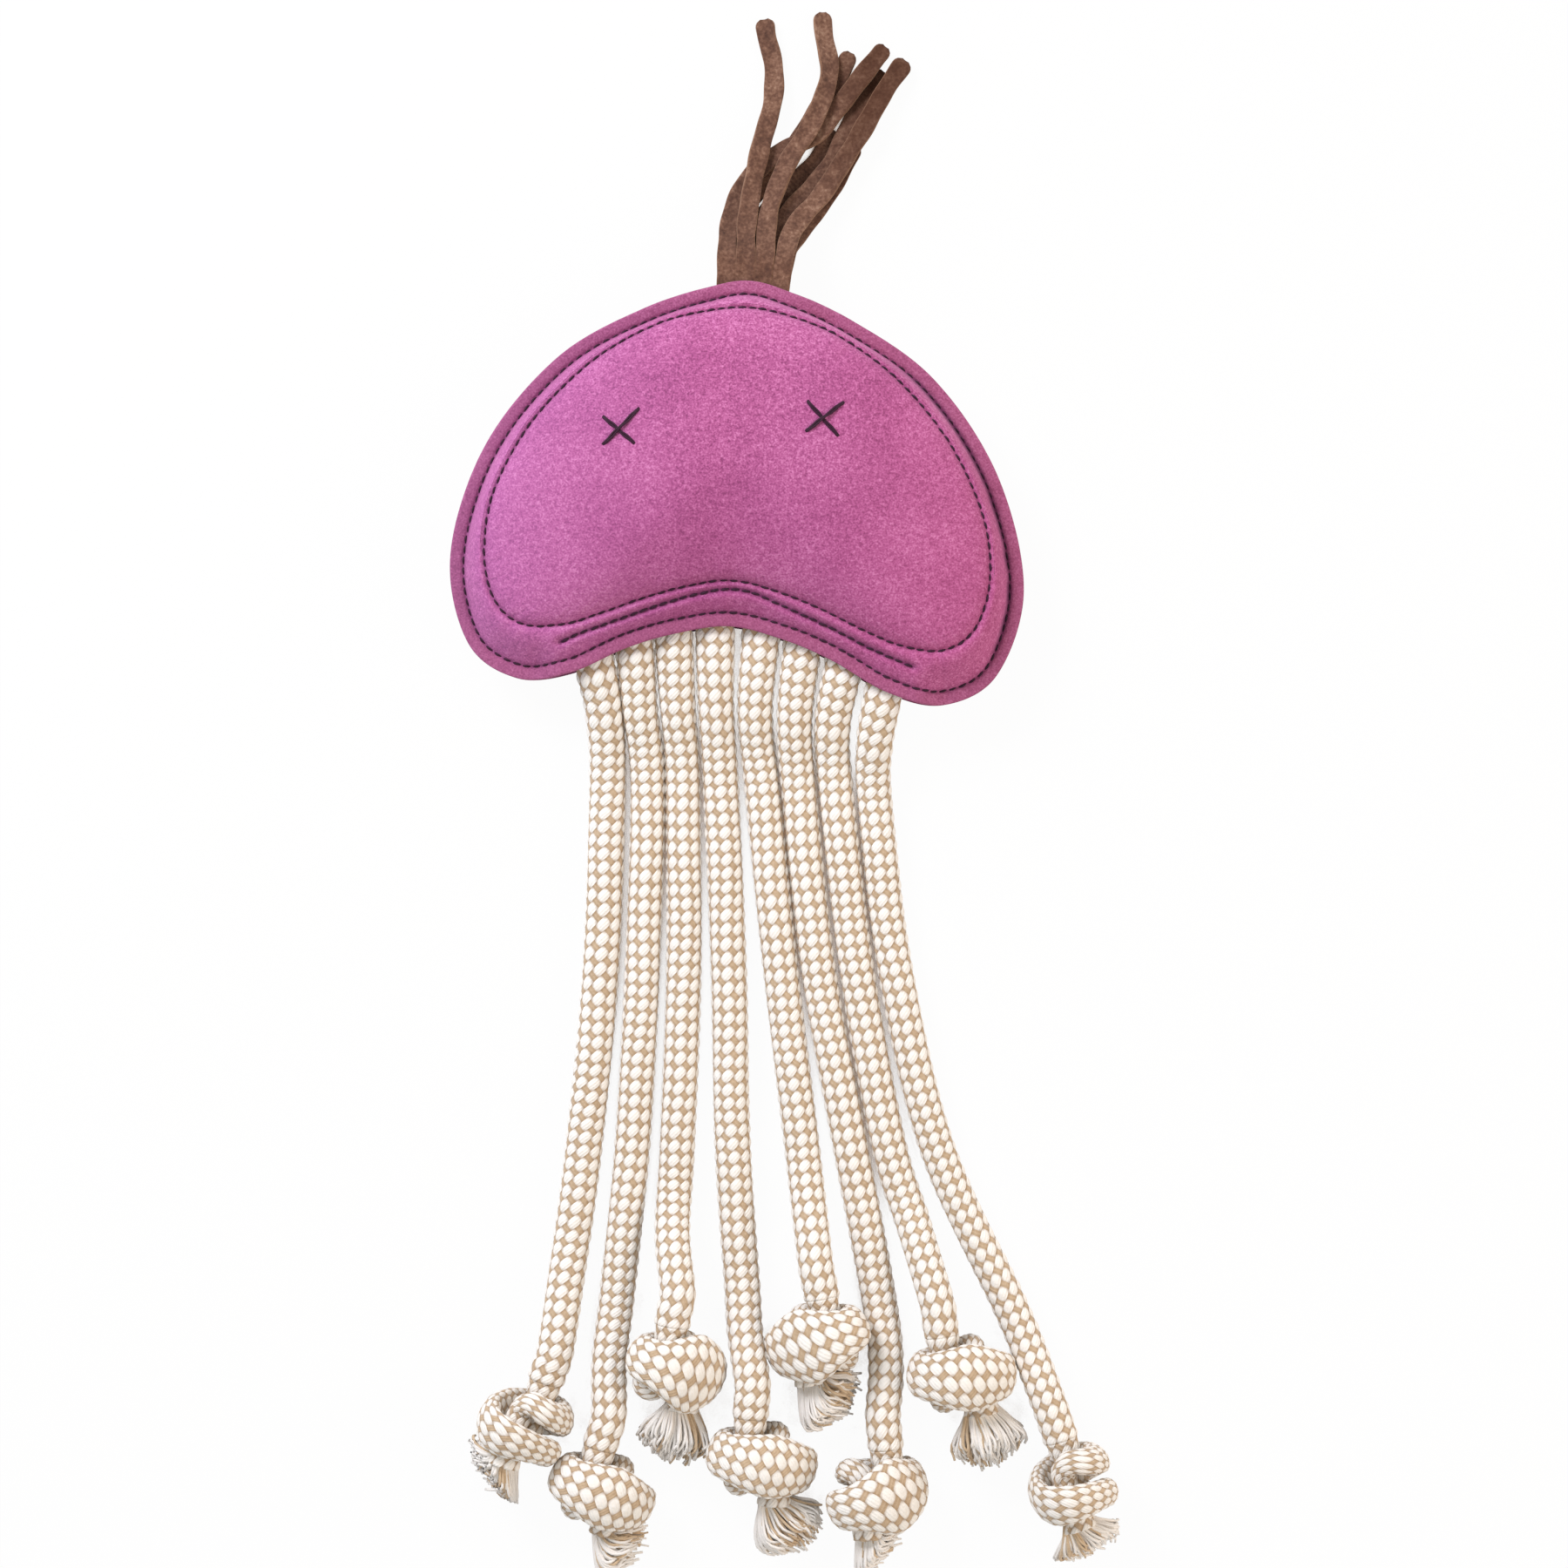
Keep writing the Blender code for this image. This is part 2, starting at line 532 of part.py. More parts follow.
FLOOR_LIFT = 0.0002
necks = {}
tails_from = {}
for number, (x, y, turn, roll, hand, collar, loose, _, _) in KNOTS.items():
    # Local x across the strand, y into the floor and z back up the rope
    upright = Matrix(((1, 0, 0), (0, 0, 1), (0, -1, 0)))
    about_rope = Matrix.Rotation(math.radians(roll), 3, "Z")
    rotation = Matrix.Rotation(math.radians(turn), 3, "Z") @ upright @ about_rope
    points, faces = knot_points(collar, loose)
    placed = (points * (hand, 1, 1)) @ np.array(rotation).T
    shift = np.array([x * MM, y * MM, FLOOR_LIFT - placed[:, 2].min()])
    placed = placed + shift
    add_object("knot_%d" % number, placed, faces, COTTON)
    up_rope = np.array(rotation)[:, 2]
    necks[number] = placed[:KNOT_SIDES].mean(axis=0), up_rope
    tails_from[number] = placed[-KNOT_SIDES:].mean(axis=0), -up_rope

# Ropes: plain round cords, squeezed where the seam holds them
for number, route in ROUTES.items():
    way = np.array(route, float) * MM
    back = way[0] - way[1]
    back[2] = 0
    start = way[0] + back / np.linalg.norm(back) * ROPE_INSIDE
    neck, up_rope = necks[number]
    last_three = np.array([neck + up_rope * part for part in (KNOT_LEAD, KNOT_STRAIGHT, CLEARANCE)])
    last_three[:, 2] = LYING * MM
    line = smooth_line(np.vstack([start, way, last_three]))
    to_neck = lengths_along(line)[-1] - lengths_along(line)
    climb = (neck[2] - LYING * MM) * ease(1 - (to_neck - KNOT_STRAIGHT) / KNOT_RISE)
    line[:, 2] = np.maximum(line[:, 2], LYING * MM + climb)
    length = lengths_along(line)[-1]
    outside = ROPE_INSIDE + 1.5 * ROPE_DIAMETER
    spans = max(2, round((length - outside) / ROPE_POINT_SPACING))
    places = [0.0, ROPE_INSIDE, *np.linspace(outside, length - KNOT_STRAIGHT, spans + 1), length]
    curve = bpy.data.curves.new("rope_%d" % number, "CURVE")
    curve.dimensions = "3D"
    curve.bevel_depth = rope_radius
    curve.bevel_resolution = 2
    curve.use_fill_caps = True
    spline = curve.splines.new("POLY")
    spline.points.add(len(places) - 1)
    for point, place, where in zip(spline.points, places, at_lengths(line, places)):
        point.co = (*where, 1.0)
        point.radius = ROPE_SQUEEZE if place <= ROPE_INSIDE else 1.0
    curve.materials.append(COTTON)
    rope = bpy.data.objects.new("rope_%d" % number, curve)
    bpy.context.scene.collection.objects.link(rope)

# Tufts: the frayed yarns as one flared brush each
TUFT_SHAPE = [(0.0, 0.0), (0.35, 0.55), (0.75, 1.0), (1.0, 0.85)]
TUFT_SIDES = 10
for number, knot in KNOTS.items():
    heading, tuft_share = knot[-2:]
    root, leaving = tails_from[number]
    pointing = np.array([math.sin(math.radians(heading)), -math.cos(math.radians(heading)), 0.0])
    root_radius = strand[-1, 1] * knot_unit
    full_radius = TUFT_WIDTH / 2
    tuft_length = TUFT_LENGTH * tuft_share
    drop = full_radius + FLOOR_LIFT - root[2]
    rings = []
    for along, flare in TUFT_SHAPE:
        aim = leaving * (1 - along) + pointing * along
        aim = aim / np.linalg.norm(aim)
        radius = root_radius + (full_radius - root_radius) * flare
        middle = root + leaving * 2 * CLEARANCE + aim * along * tuft_length + np.array([0, 0, drop * along])
        side = np.cross(aim, (0, 0, 1))
        side = side / np.linalg.norm(side)
        up = np.cross(side, aim)
        turns = (np.arange(TUFT_SIDES) + 0.5) / TUFT_SIDES * 2 * math.pi
        rings.append(middle + radius * (np.outer(np.cos(turns), side) + np.outer(np.sin(turns), up)))
    points, faces = tube(rings)
    points[:, 2] = np.maximum(points[:, 2], FLOOR_LIFT)
    add_object("tuft_%d" % number, points, faces, COTTON)


def add_fringe(name, tails, layer):
    """One suede layer of the fringe: a strip held in the seam, cut into tails past the head's edge."""
    thickness = np.array([0.0, 0.0, FRINGE_SUEDE / 2])
    middle_height = JOINT_HEIGHT + layer * (FRINGE_SUEDE + CLEARANCE) / 2
    head_top = HEAD_CENTRE_Y + HEAD_HEIGHT / 2
    slit_y = head_top - SLIT_START
    pitch = FRINGE_WIDTH / len(tails)
    columns = []
    for i in range(len(tails)):
        left = FRINGE_X - FRINGE_WIDTH / 2 + i * pitch
        columns += [left + SLIT / 2, left + pitch - SLIT / 2]
    points = []
    for y in (head_top - FRINGE_INSIDE, slit_y):
        for x in columns:
            middle = np.array([x, y, middle_height])
            points += [middle + thickness, middle - thickness]
    count = len(columns)
    faces = []
    for c in range(count - 1):
        a = 2 * c
        b = 2 * (count + c)
        faces += [(a, a + 2, b + 2, b), (a + 1, b + 1, b + 3, a + 3), (a, a + 1, a + 3, a + 2)]
        if c % 2:
            faces.append((b, b + 2, b + 3, b + 1))
    last = 2 * (count - 1)
    faces += [(0, 2 * count, 2 * count + 1, 1), (last, last + 1, last + 2 * count + 1, last + 2 * count)]
    for i, tail in enumerate(tails):
        root = np.array([(columns[2 * i] + columns[2 * i + 1]) / 2, slit_y, middle_height])
        way = np.array(tail, float)
        line = smooth_line(np.vstack([root, way * MM]))
        length = lengths_along(line)[-1]
        places = np.linspace(0, length, TAIL_RINGS + 1)[1:]
        middles = at_lengths(line, places)
        tangents = np.gradient(np.vstack([root, middles]), axis=0)[1:]
        left_top = 2 * (count + 2 * i)
        previous = [left_top + 2, left_top, left_top + 1, left_top + 3]
        for middle, along in zip(middles, tangents):
            along = along / np.linalg.norm(along)
            side = np.cross(along, (0, 0, 1))
            side = side / np.linalg.norm(side) * (pitch - SLIT) / 2
            up = np.cross(side / np.linalg.norm(side), along) * FRINGE_SUEDE / 2
            start = len(points)
            points += [middle + side + up, middle - side + up, middle - side - up, middle + side - up]
            ring = [start, start + 1, start + 2, start + 3]
            for j in range(4):
                k = (j + 1) % 4
                faces.append((previous[j], previous[k], ring[k], ring[j]))
            previous = ring
        faces.append(tuple(previous))
    return add_object(name, points, faces, BROWN, smooth=False)


add_fringe("tassel_front", FRONT_TAILS, 1)
add_fringe("tassel_back", BACK_TAILS, -1)

bpy.context.view_layer.update()
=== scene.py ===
"""Stuffed suede jellyfish dog toy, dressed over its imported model.

The sections follow the toy as it is made: the table it lies on, the suede panels, the stitched eyes, the
braided ropes with their knots, the fringe, the seams that close the head, and the filling.
"""
import math

import bpy
import numpy as np
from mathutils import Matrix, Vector
from mathutils.bvhtree import BVHTree


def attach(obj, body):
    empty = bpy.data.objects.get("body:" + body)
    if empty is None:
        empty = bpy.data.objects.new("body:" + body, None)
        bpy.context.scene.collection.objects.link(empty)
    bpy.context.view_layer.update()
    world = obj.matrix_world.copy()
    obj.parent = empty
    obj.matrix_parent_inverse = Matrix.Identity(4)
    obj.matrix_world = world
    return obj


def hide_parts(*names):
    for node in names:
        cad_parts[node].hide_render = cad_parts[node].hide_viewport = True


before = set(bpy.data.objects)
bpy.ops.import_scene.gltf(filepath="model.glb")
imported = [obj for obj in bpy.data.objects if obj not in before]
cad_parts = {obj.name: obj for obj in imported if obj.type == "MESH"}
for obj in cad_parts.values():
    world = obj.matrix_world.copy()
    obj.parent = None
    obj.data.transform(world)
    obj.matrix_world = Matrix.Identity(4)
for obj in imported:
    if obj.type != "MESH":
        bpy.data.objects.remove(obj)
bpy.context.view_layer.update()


# Table, light and camera
# The toy lies on a white table under soft daylight that comes from the left. The camera looks straight down
# from about a metre, turned three degrees, because the toy lies a little askew in the picture.
class Wire:
    """A node's output. Arithmetic on it adds Math nodes, and node() adds any other kind."""

    def __init__(self, tree, socket=None):
        self.tree = tree
        self.socket = socket

    def node(self, kind, settings=None, inputs=None, output=0):
        made = self.tree.nodes.new(kind)
        for key, value in (settings or {}).items():
            if key == "stops":
                ramp = made.color_ramp
                ramp.elements.remove(ramp.elements[1])
                ramp.elements[0].position = value[0][0]
                ramp.elements[0].color = value[0][1]
                for place, colour in value[1:]:
                    ramp.elements.new(place).color = colour
            else:
                setattr(made, key, value)
        for key, value in (inputs or {}).items():
            if isinstance(value, Wire):
                self.tree.links.new(value.socket, made.inputs[key])
            else:
                made.inputs[key].default_value = value
        return Wire(self.tree, made.outputs[output])

    def math(self, operation, *values):
        return self.node("ShaderNodeMath", {"operation": operation}, dict(enumerate(values)))

    def __add__(self, other):
        return self.math("ADD", self, other)

    def __radd__(self, other):
        return self.math("ADD", other, self)

    def __sub__(self, other):
        return self.math("SUBTRACT", self, other)

    def __rsub__(self, other):
        return self.math("SUBTRACT", other, self)

    def __mul__(self, other):
        return self.math("MULTIPLY", self, other)

    def __rmul__(self, other):
        return self.math("MULTIPLY", other, self)

    def __truediv__(self, other):
        return self.math("DIVIDE", self, other)

    def clamp(self):
        return self.math("MINIMUM", self.math("MAXIMUM", self, 0.0), 1.0)

    def tint(self, low, high):
        """Colour that goes from low at 0 to high at 1."""
        return self.node("ShaderNodeMix", {"data_type": "RGBA"}, {0: self, 6: low, 7: high}, 2)

    def noise(self, scale, detail=2.0):
        """Noise at the place that this wire gives."""
        return self.node("ShaderNodeTexNoise", {}, {"Scale": scale, "Detail": detail, "Vector": self}, "Fac")

    def axis(self, name):
        return self.node("ShaderNodeSeparateXYZ", {}, {"Vector": self}, name)

    def attribute(self, name):
        return self.node("ShaderNodeAttribute", {"attribute_name": name}, {}, "Fac")

    def feed(self, target):
        self.tree.links.new(self.socket, target)

    def bump(self, strength, distance, shader):
        """This wire as the relief of a shader's surface."""
        inputs = {"Strength": strength, "Distance": distance, "Height": self}
        self.node("ShaderNodeBump", {}, inputs, "Normal").feed(shader.inputs["Normal"])


def new_finish(name, roughness, sheen=0.0, sheen_tint=(1, 1, 1, 1)):
    """A matt Principled material, with its shader and the place on its object to start its nodes from."""
    finish = bpy.data.materials.new(name)
    finish.use_nodes = True
    shader = finish.node_tree.nodes["Principled BSDF"]
    shader.inputs["Roughness"].default_value = roughness
    shader.inputs["Specular IOR Level"].default_value = 0.25
    shader.inputs["Sheen Weight"].default_value = sheen
    shader.inputs["Sheen Roughness"].default_value = 0.5
    shader.inputs["Sheen Tint"].default_value = sheen_tint
    return finish, shader, Wire(finish.node_tree).node("ShaderNodeTexCoord", {}, {}, "Object")


TABLE_SIZE = 3.0
table_finish = bpy.data.materials.new("white_table")
table_finish.use_nodes = True
table_tree = table_finish.node_tree
table_tree.nodes.clear()
start = Wire(table_tree)
# The camera sees open table as plain white with a faint shadow, and the slits between the ropes as painted brown shadow
SLIT_REACH = 0.022
openness = start.node("ShaderNodeAmbientOcclusion", {"samples": 16}, {"Distance": SLIT_REACH}, "AO")
open_share = ((openness - 0.07) / 0.06).clamp()
seen = start.node("ShaderNodeLightPath", {}, {}, "Is Camera Ray")
# Painted shadow: a brown emission where the table is closed in between the ropes
painted_slit_shadow = start.node("ShaderNodeEmission", {}, {"Color": (0.190, 0.100, 0.045, 1), "Strength": 1.0}, "Emission")
plain = start.node("ShaderNodeBsdfDiffuse", {}, {"Color": (0.80, 0.79, 0.78, 1)}, "BSDF")
# Painted shade: the white turns brown as the slits between the ropes narrow
white_with_painted_slit_shade = open_share.tint((0.42, 0.28, 0.17, 1), (1, 1, 1, 1))
white = start.node("ShaderNodeEmission", {}, {"Color": white_with_painted_slit_shade, "Strength": 1.0}, "Emission")
bright = start.node("ShaderNodeMixShader", {}, {0: 0.96, 1: plain, 2: white}, "Shader")
shown = start.node("ShaderNodeMixShader", {}, {0: open_share, 1: painted_slit_shadow, 2: bright}, "Shader")
surface = start.node("ShaderNodeMixShader", {}, {0: seen, 1: plain, 2: shown}, "Shader")
table_output = table_tree.nodes.new("ShaderNodeOutputMaterial")
surface.feed(table_output.inputs["Surface"])
half_table = TABLE_SIZE / 2
table_mesh = bpy.data.meshes.new("table")
corners = [(-half_table, -half_table, 0), (half_table, -half_table, 0), (half_table, half_table, 0),
           (-half_table, half_table, 0)]
table_mesh.from_pydata(corners, [], [(0, 1, 2, 3)])
table_mesh.materials.append(table_finish)
table = bpy.data.objects.new("table", table_mesh)
bpy.context.scene.collection.objects.link(table)

world = bpy.data.worlds.new("daylight")
bpy.context.scene.world = world
world.use_nodes = True
sky = world.node_tree.nodes["Background"]
start = Wire(world.node_tree)
seen = start.node("ShaderNodeLightPath", {}, {}, "Is Camera Ray")
(seen * 0.42 + 0.58).feed(sky.inputs["Strength"])
sky.inputs["Color"].default_value = (1.0, 0.985, 0.97, 1)


def add_lamp(name, place, target, size, watts, colour):
    """A square soft lamp at a place, turned to a target."""
    light = bpy.data.lights.new(name, "AREA")
    light.size = size
    light.energy = watts
    light.color = colour
    lamp = bpy.data.objects.new(name, light)
    lamp.location = place
    lamp.rotation_euler = (Vector(target) - Vector(place)).to_track_quat("-Z", "Y").to_euler()
    bpy.context.scene.collection.objects.link(lamp)


add_lamp("window", (-0.65, 0.62, 0.80), (0.0, -0.1, 0.0), 0.50, 12.0, (0.97, 0.98, 1.06))
add_lamp("room", (0.95, -0.25, 0.60), (0.0, -0.1, 0.0), 0.7, 4.5, (1.0, 0.80, 0.62))

CAMERA_HEIGHT = 1.0775
CAMERA_PLACE = (0.01802, -0.09376)
lens = bpy.data.cameras.new("camera")
lens.lens = 85.0
lens.sensor_width = 36.0
camera = bpy.data.objects.new("camera", lens)
camera.location = (*CAMERA_PLACE, CAMERA_HEIGHT)
camera.rotation_euler = (0.0, 0.0, math.radians(3.2))
bpy.context.scene.collection.objects.link(camera)
bpy.context.scene.camera = camera
bpy.context.scene.view_settings.view_transform = "Standard"

# Suede panels
# Two pieces of magenta split suede, 1.6 mm thick with a short nap, cut to one outline. They lie face out over
# the filling: a flat rim to the outer seam, a steep band up to the inner seam, and a soft dome inside it.
MM = 0.001
HEAD_WIDTH = 0.164
HEAD_HEIGHT = 0.1174
HEAD_CENTRE_Y = -0.0093
SUEDE = 0.0016
JOINT_HEIGHT = 0.0150
DOME_HEIGHT = 0.0205
SHOULDER_RISE = 0.0090
SHOULDER_DROP = 0.0080
SEAM_MARGIN = 0.0040
FLAT_FROM = 0.52
HALF_OUTLINE = [
    (0.0, 1.0), (0.134, 0.961), (0.360, 0.843), (0.660, 0.579), (0.899, 0.133), (1.0, -0.409),
    (0.922, -0.836), (0.744, -0.995), (0.549, -0.956), (0.355, -0.821), (0.188, -0.738), (0.0, -0.688),
]
STATIONS = 400


def smooth_line(points, per_span=24, closed=False):
    """Catmull-Rom curve: a cubic through each pair of points, level with its neighbours' chord."""
    p = np.asarray(points, float)
    if closed:
        p = np.vstack([p[-1:], p, p[:2]])
    else:
        p = np.vstack([2 * p[0] - p[1], p, 2 * p[-1] - p[-2]])
    t = np.linspace(0, 1, per_span, endpoint=False)[None, :, None]
    a, b, c, d = (p[k:len(p) - 3 + k][:, None] for k in range(4))
    spans = 0.5 * (2 * b + (c - a) * t + (2 * a - 5 * b + 4 * c - d) * t**2 + (3 * b - a - 3 * c + d) * t**3)
    line = spans.reshape(-1, p.shape[1])
    return line if closed else np.vstack([line, p[-2]])


def lengths_along(line):
    """Distance of each point from the line's first one."""
    return np.concatenate([[0.0], np.cumsum(np.linalg.norm(np.diff(line, axis=0), axis=1))])


def at_lengths(line, wanted):
    """Points of the line at the wanted distances along it."""
    along = lengths_along(line)
    return np.stack([np.interp(wanted, along, column) for column in line.T], axis=-1)


def ease(value):
    """Smooth step from 0 to 1."""
    t = np.clip(value, 0.0, 1.0)
    return t * t * (3 - 2 * t)


def bell(distance, width):
    """Bell curve, 1 at no distance: e to the minus square of distance over width."""
    return np.exp(-(distance / width) ** 2)


def unit(vectors):
    """Each vector over its own length."""
    return vectors / np.linalg.norm(vectors, axis=-1)[..., None]


def add_piece(name, points, quads, finish, corner_uv=None, triangles=None):
    """One smooth mesh from whole arrays of points and faces, its faces turned out if it is closed."""
    corners = quads.ravel()
    starts = np.arange(len(quads)) * 4
    if triangles is not None:
        corners = np.concatenate([corners, triangles.ravel()])
        starts = np.concatenate([starts, len(quads) * 4 + np.arange(len(triangles)) * 3])
    mesh = bpy.data.meshes.new(name)
    mesh.vertices.add(len(points))
    mesh.vertices.foreach_set("co", np.asarray(points, float).ravel())
    mesh.loops.add(len(corners))
    mesh.loops.foreach_set("vertex_index", corners.astype(np.int32))
    mesh.polygons.add(len(starts))
    mesh.polygons.foreach_set("loop_start", starts.astype(np.int32))
    mesh.update(calc_edges=True)
    if corner_uv is not None:
        layer = mesh.uv_layers.new(name="UVMap")
        layer.uv.foreach_set("vector", np.asarray(corner_uv, float).ravel())
    mesh.shade_smooth()
    mesh.materials.append(finish)
    piece = bpy.data.objects.new(name, mesh)
    bpy.context.scene.collection.objects.link(piece)
    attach(piece, "root")
    return piece


def set_attribute(piece, name, values):
    """One number for each point of a piece, for its material to read."""
    layer = piece.data.attributes.new(name, "FLOAT", "POINT")
    layer.data.foreach_set("value", np.asarray(values, float).ravel())


def grid_quads(rows, columns):
    """Corners of the quads between neighbouring rows of a grid of points that closes round each row."""
    r = np.arange(rows - 1)[:, None] * columns
    c = np.arange(columns)[None, :]
    following = (c + 1) % columns
    return np.stack([r + c, r + following, r + columns + following, r + columns + c], axis=-1).reshape(-1, 4)


def end_fans(rows, columns):
    """Triangles that close a grid's first and last rows, each with a point that follows the grid's own."""
    c = np.arange(columns)
    following = (c + 1) % columns
    last = (rows - 1) * columns
    first_fan = np.stack([np.full(columns, rows * columns), following, c], axis=-1)
    last_fan = np.stack([np.full(columns, rows * columns + 1), last + c, last + following], axis=-1)
    return np.concatenate([first_fan, last_fan])


def lopsided(plan):
    """The plan as the soft head lies: its right lobe leans out and down, and its left side in, by eased shares."""
    x, y = plan[:, 0], plan[:, 1]
    right = ease((x - 0.015) / 0.050) * ease((0.010 - y) / 0.050)
    left = ease((-0.030 - x) / 0.045)
    return plan + np.stack([right * 0.0016 + left * 0.0009, right * -0.0009], axis=-1)


def head_line(half):
    """Smooth closed line round the head from its right half, which is mirrored first and then leans."""
    mirrored = (half[1:-1] * (-1, 1))[::-1]
    line = lopsided(smooth_line(np.vstack([half, mirrored]), closed=True))
    return np.vstack([line, line[:1]])


edge_line = head_line(np.array(HALF_OUTLINE) * (HEAD_WIDTH / 2, HEAD_HEIGHT / 2) + (0.0, HEAD_CENTRE_Y))
edge_length = lengths_along(edge_line)[-1]
station_at = np.arange(STATIONS) / STATIONS * edge_length
edge = at_lengths(edge_line, station_at)
half_turn = 1 - np.abs(station_at / edge_length * 2 - 1)
# Half of the inner seam in millimetres from the top round to the arch
HALF_INNER_SEAM = np.array([
    (0.0, 40.9), (18.6, 37.3), (31.6, 31.3), (45.3, 21.5), (60.0, 5.0), (69.3, -13.6), (71.7, -28.4), (70.4, -40.0),
    (66.3, -48.2), (58.5, -52.6), (47.3, -51.8), (37.1, -48.2), (22.0, -42.0), (7.5, -37.7), (0.0, -36.8),
]) * MM
inner_line = head_line(HALF_INNER_SEAM)
inner_length = lengths_along(inner_line)[-1]
# Each point of the seam belongs to its nearest place on the edge, and the stations between are spaced evenly
SEAM_SAMPLES = 400
SPREAD = 20
order = np.arange(SEAM_SAMPLES)
samples = at_lengths(inner_line, order / SEAM_SAMPLES * inner_length)
nearest = np.argmin(np.linalg.norm(samples[:, None] - edge[None], axis=2), axis=1).astype(float)
nearest[nearest > order / SEAM_SAMPLES * STATIONS + STATIONS / 2] -= STATIONS
nearest[nearest < order / SEAM_SAMPLES * STATIONS - STATIONS / 2] += STATIONS
window = np.ones(2 * SPREAD + 1) / (2 * SPREAD + 1)
even = np.convolve(np.concatenate([nearest[-SPREAD:] - STATIONS, nearest, nearest[:SPREAD] + STATIONS]), window,
                   mode="valid")
even = np.maximum.accumulate(even)
wrapped = np.concatenate([even - STATIONS, even, even + STATIONS])
places = np.concatenate([order - SEAM_SAMPLES, order, order + SEAM_SAMPLES]) / SEAM_SAMPLES * inner_length
inner_at = np.interp(np.arange(STATIONS), wrapped, places) % inner_length
inner = at_lengths(inner_line, inner_at)
inner_inset = np.linalg.norm(inner - edge, axis=1)
inward = unit(inner - edge)

# The panels part for the ropes along the arch and for the fringe at the top
ROPE_ROW = (-0.043, 0.050)
ROPE_PARTING = 0.0044
FRINGE_X = 0.0012
FRINGE_WIDTH = 0.0202
FRINGE_PARTING = 0.00195
CLOSED = 0.00015
OPEN_PAST = 0.004
CLOSES_OVER = 0.010
from_row = np.abs(edge[:, 0] - sum(ROPE_ROW) / 2) - (ROPE_ROW[1] - ROPE_ROW[0]) / 2 - OPEN_PAST
rope_share = ease(1 - from_row / CLOSES_OVER) * (half_turn > 0.5)
from_fringe = np.abs(edge[:, 0] - FRINGE_X) - FRINGE_WIDTH / 2 - OPEN_PAST
fringe_share = ease(1 - from_fringe / CLOSES_OVER) * (half_turn < 0.5)
parting = CLOSED + rope_share * (ROPE_PARTING - CLOSED) + fringe_share * (FRINGE_PARTING - CLOSED)

# The third row of stitches, which holds the ropes
ROPE_SEAM = np.array([(-48.2, -56.9), (-42.0, -53.9), (-35.7, -51.3), (-27.1, -47.7), (-20.0, -44.8), (-13.1, -42.3),
                      (-5.0, -40.0), (1.0, -39.3), (7.0, -40.2), (16.7, -43.9), (28.5, -48.5), (40.3, -53.7),
                      (51.6, -57.8)]) * MM
rope_seam_line = lopsided(smooth_line(ROPE_SEAM))
rope_seam_line = at_lengths(rope_seam_line, np.linspace(0, lengths_along(rope_seam_line)[-1], 220))


def from_rope_seam(plan):
    """Distance of each point of the plan from the third row, whole arrays of it at once."""
    near = np.full(plan.shape[:-1], 1.0)
    low = (plan[..., 1] < -0.030) & (np.abs(plan[..., 0]) < 0.062)
    points = plan[low]
    near[low] = np.linalg.norm(points[:, None] - rope_seam_line[None], axis=2).min(axis=1)
    return near


def wander(seed, around, lowest, highest):
    """Even random wave along the edge, from a few whole numbers of turns, between about -1 and 1."""
    source = np.random.default_rng(seed)
    turns = np.arange(lowest, highest)
    phases = source.uniform(0, 2 * math.pi, len(turns))
    sizes = source.normal(0, 1, len(turns)) / math.sqrt(len(turns))
    angles = around / edge_length * 2 * math.pi
    return np.sum(sizes[:, None] * np.sin(turns[:, None] * angles[None] + phases[:, None]), axis=0)


# Along the right side the stuffed part bulges over the outer seam and leaves a deep gap beside it, darkened with
# painted shade
GAPE_FROM = (0.040, 0.034)
gape = ease((edge[:, 0] - GAPE_FROM[0]) / 0.012) * ease((GAPE_FROM[1] - edge[:, 1]) / 0.012)
wider_up = 0.62 + 0.38 * ease((edge[:, 1] + 0.012) / 0.020)
gape = gape * np.clip(wider_up + 0.22 * wander(21, station_at, 12, 60), 0.15, 1)
gape = gape * ease((edge[:, 1] + 0.060) / 0.010)
GAPE_INSET = SEAM_MARGIN + 0.0005
# Depth and half width of the grooves: outer seam, the gap beside it, inner seam and the ropes' row
OUTER_GROOVE = (0.0006, 0.0007)
GAPE_GROOVE = (0.0012, 0.0006)
INNER_GROOVE = (0.0010, 0.0010)
ROPE_GROOVE = (0.0016, 0.0011)
INNER_PUCKER = 0.00022
OUTER_PUCKER = 0.00016
SLOW_PUCKER = 0.00035
EDGE_DROP = 0.00035
RIM_INSETS = np.array([0.0, 0.12, 0.4, 0.9, 1.6, 2.3, 2.9, 3.3, 3.6, 3.8, 4.0, 4.2, 4.4, 4.7]) * MM
BAND_ROWS = 22
GROOVE_OFFSETS = np.array([-1.0, -0.7, -0.45, -0.2, 0.0, 0.2, 0.45, 0.75, 1.1]) * MM
DOME_ROWS = 38


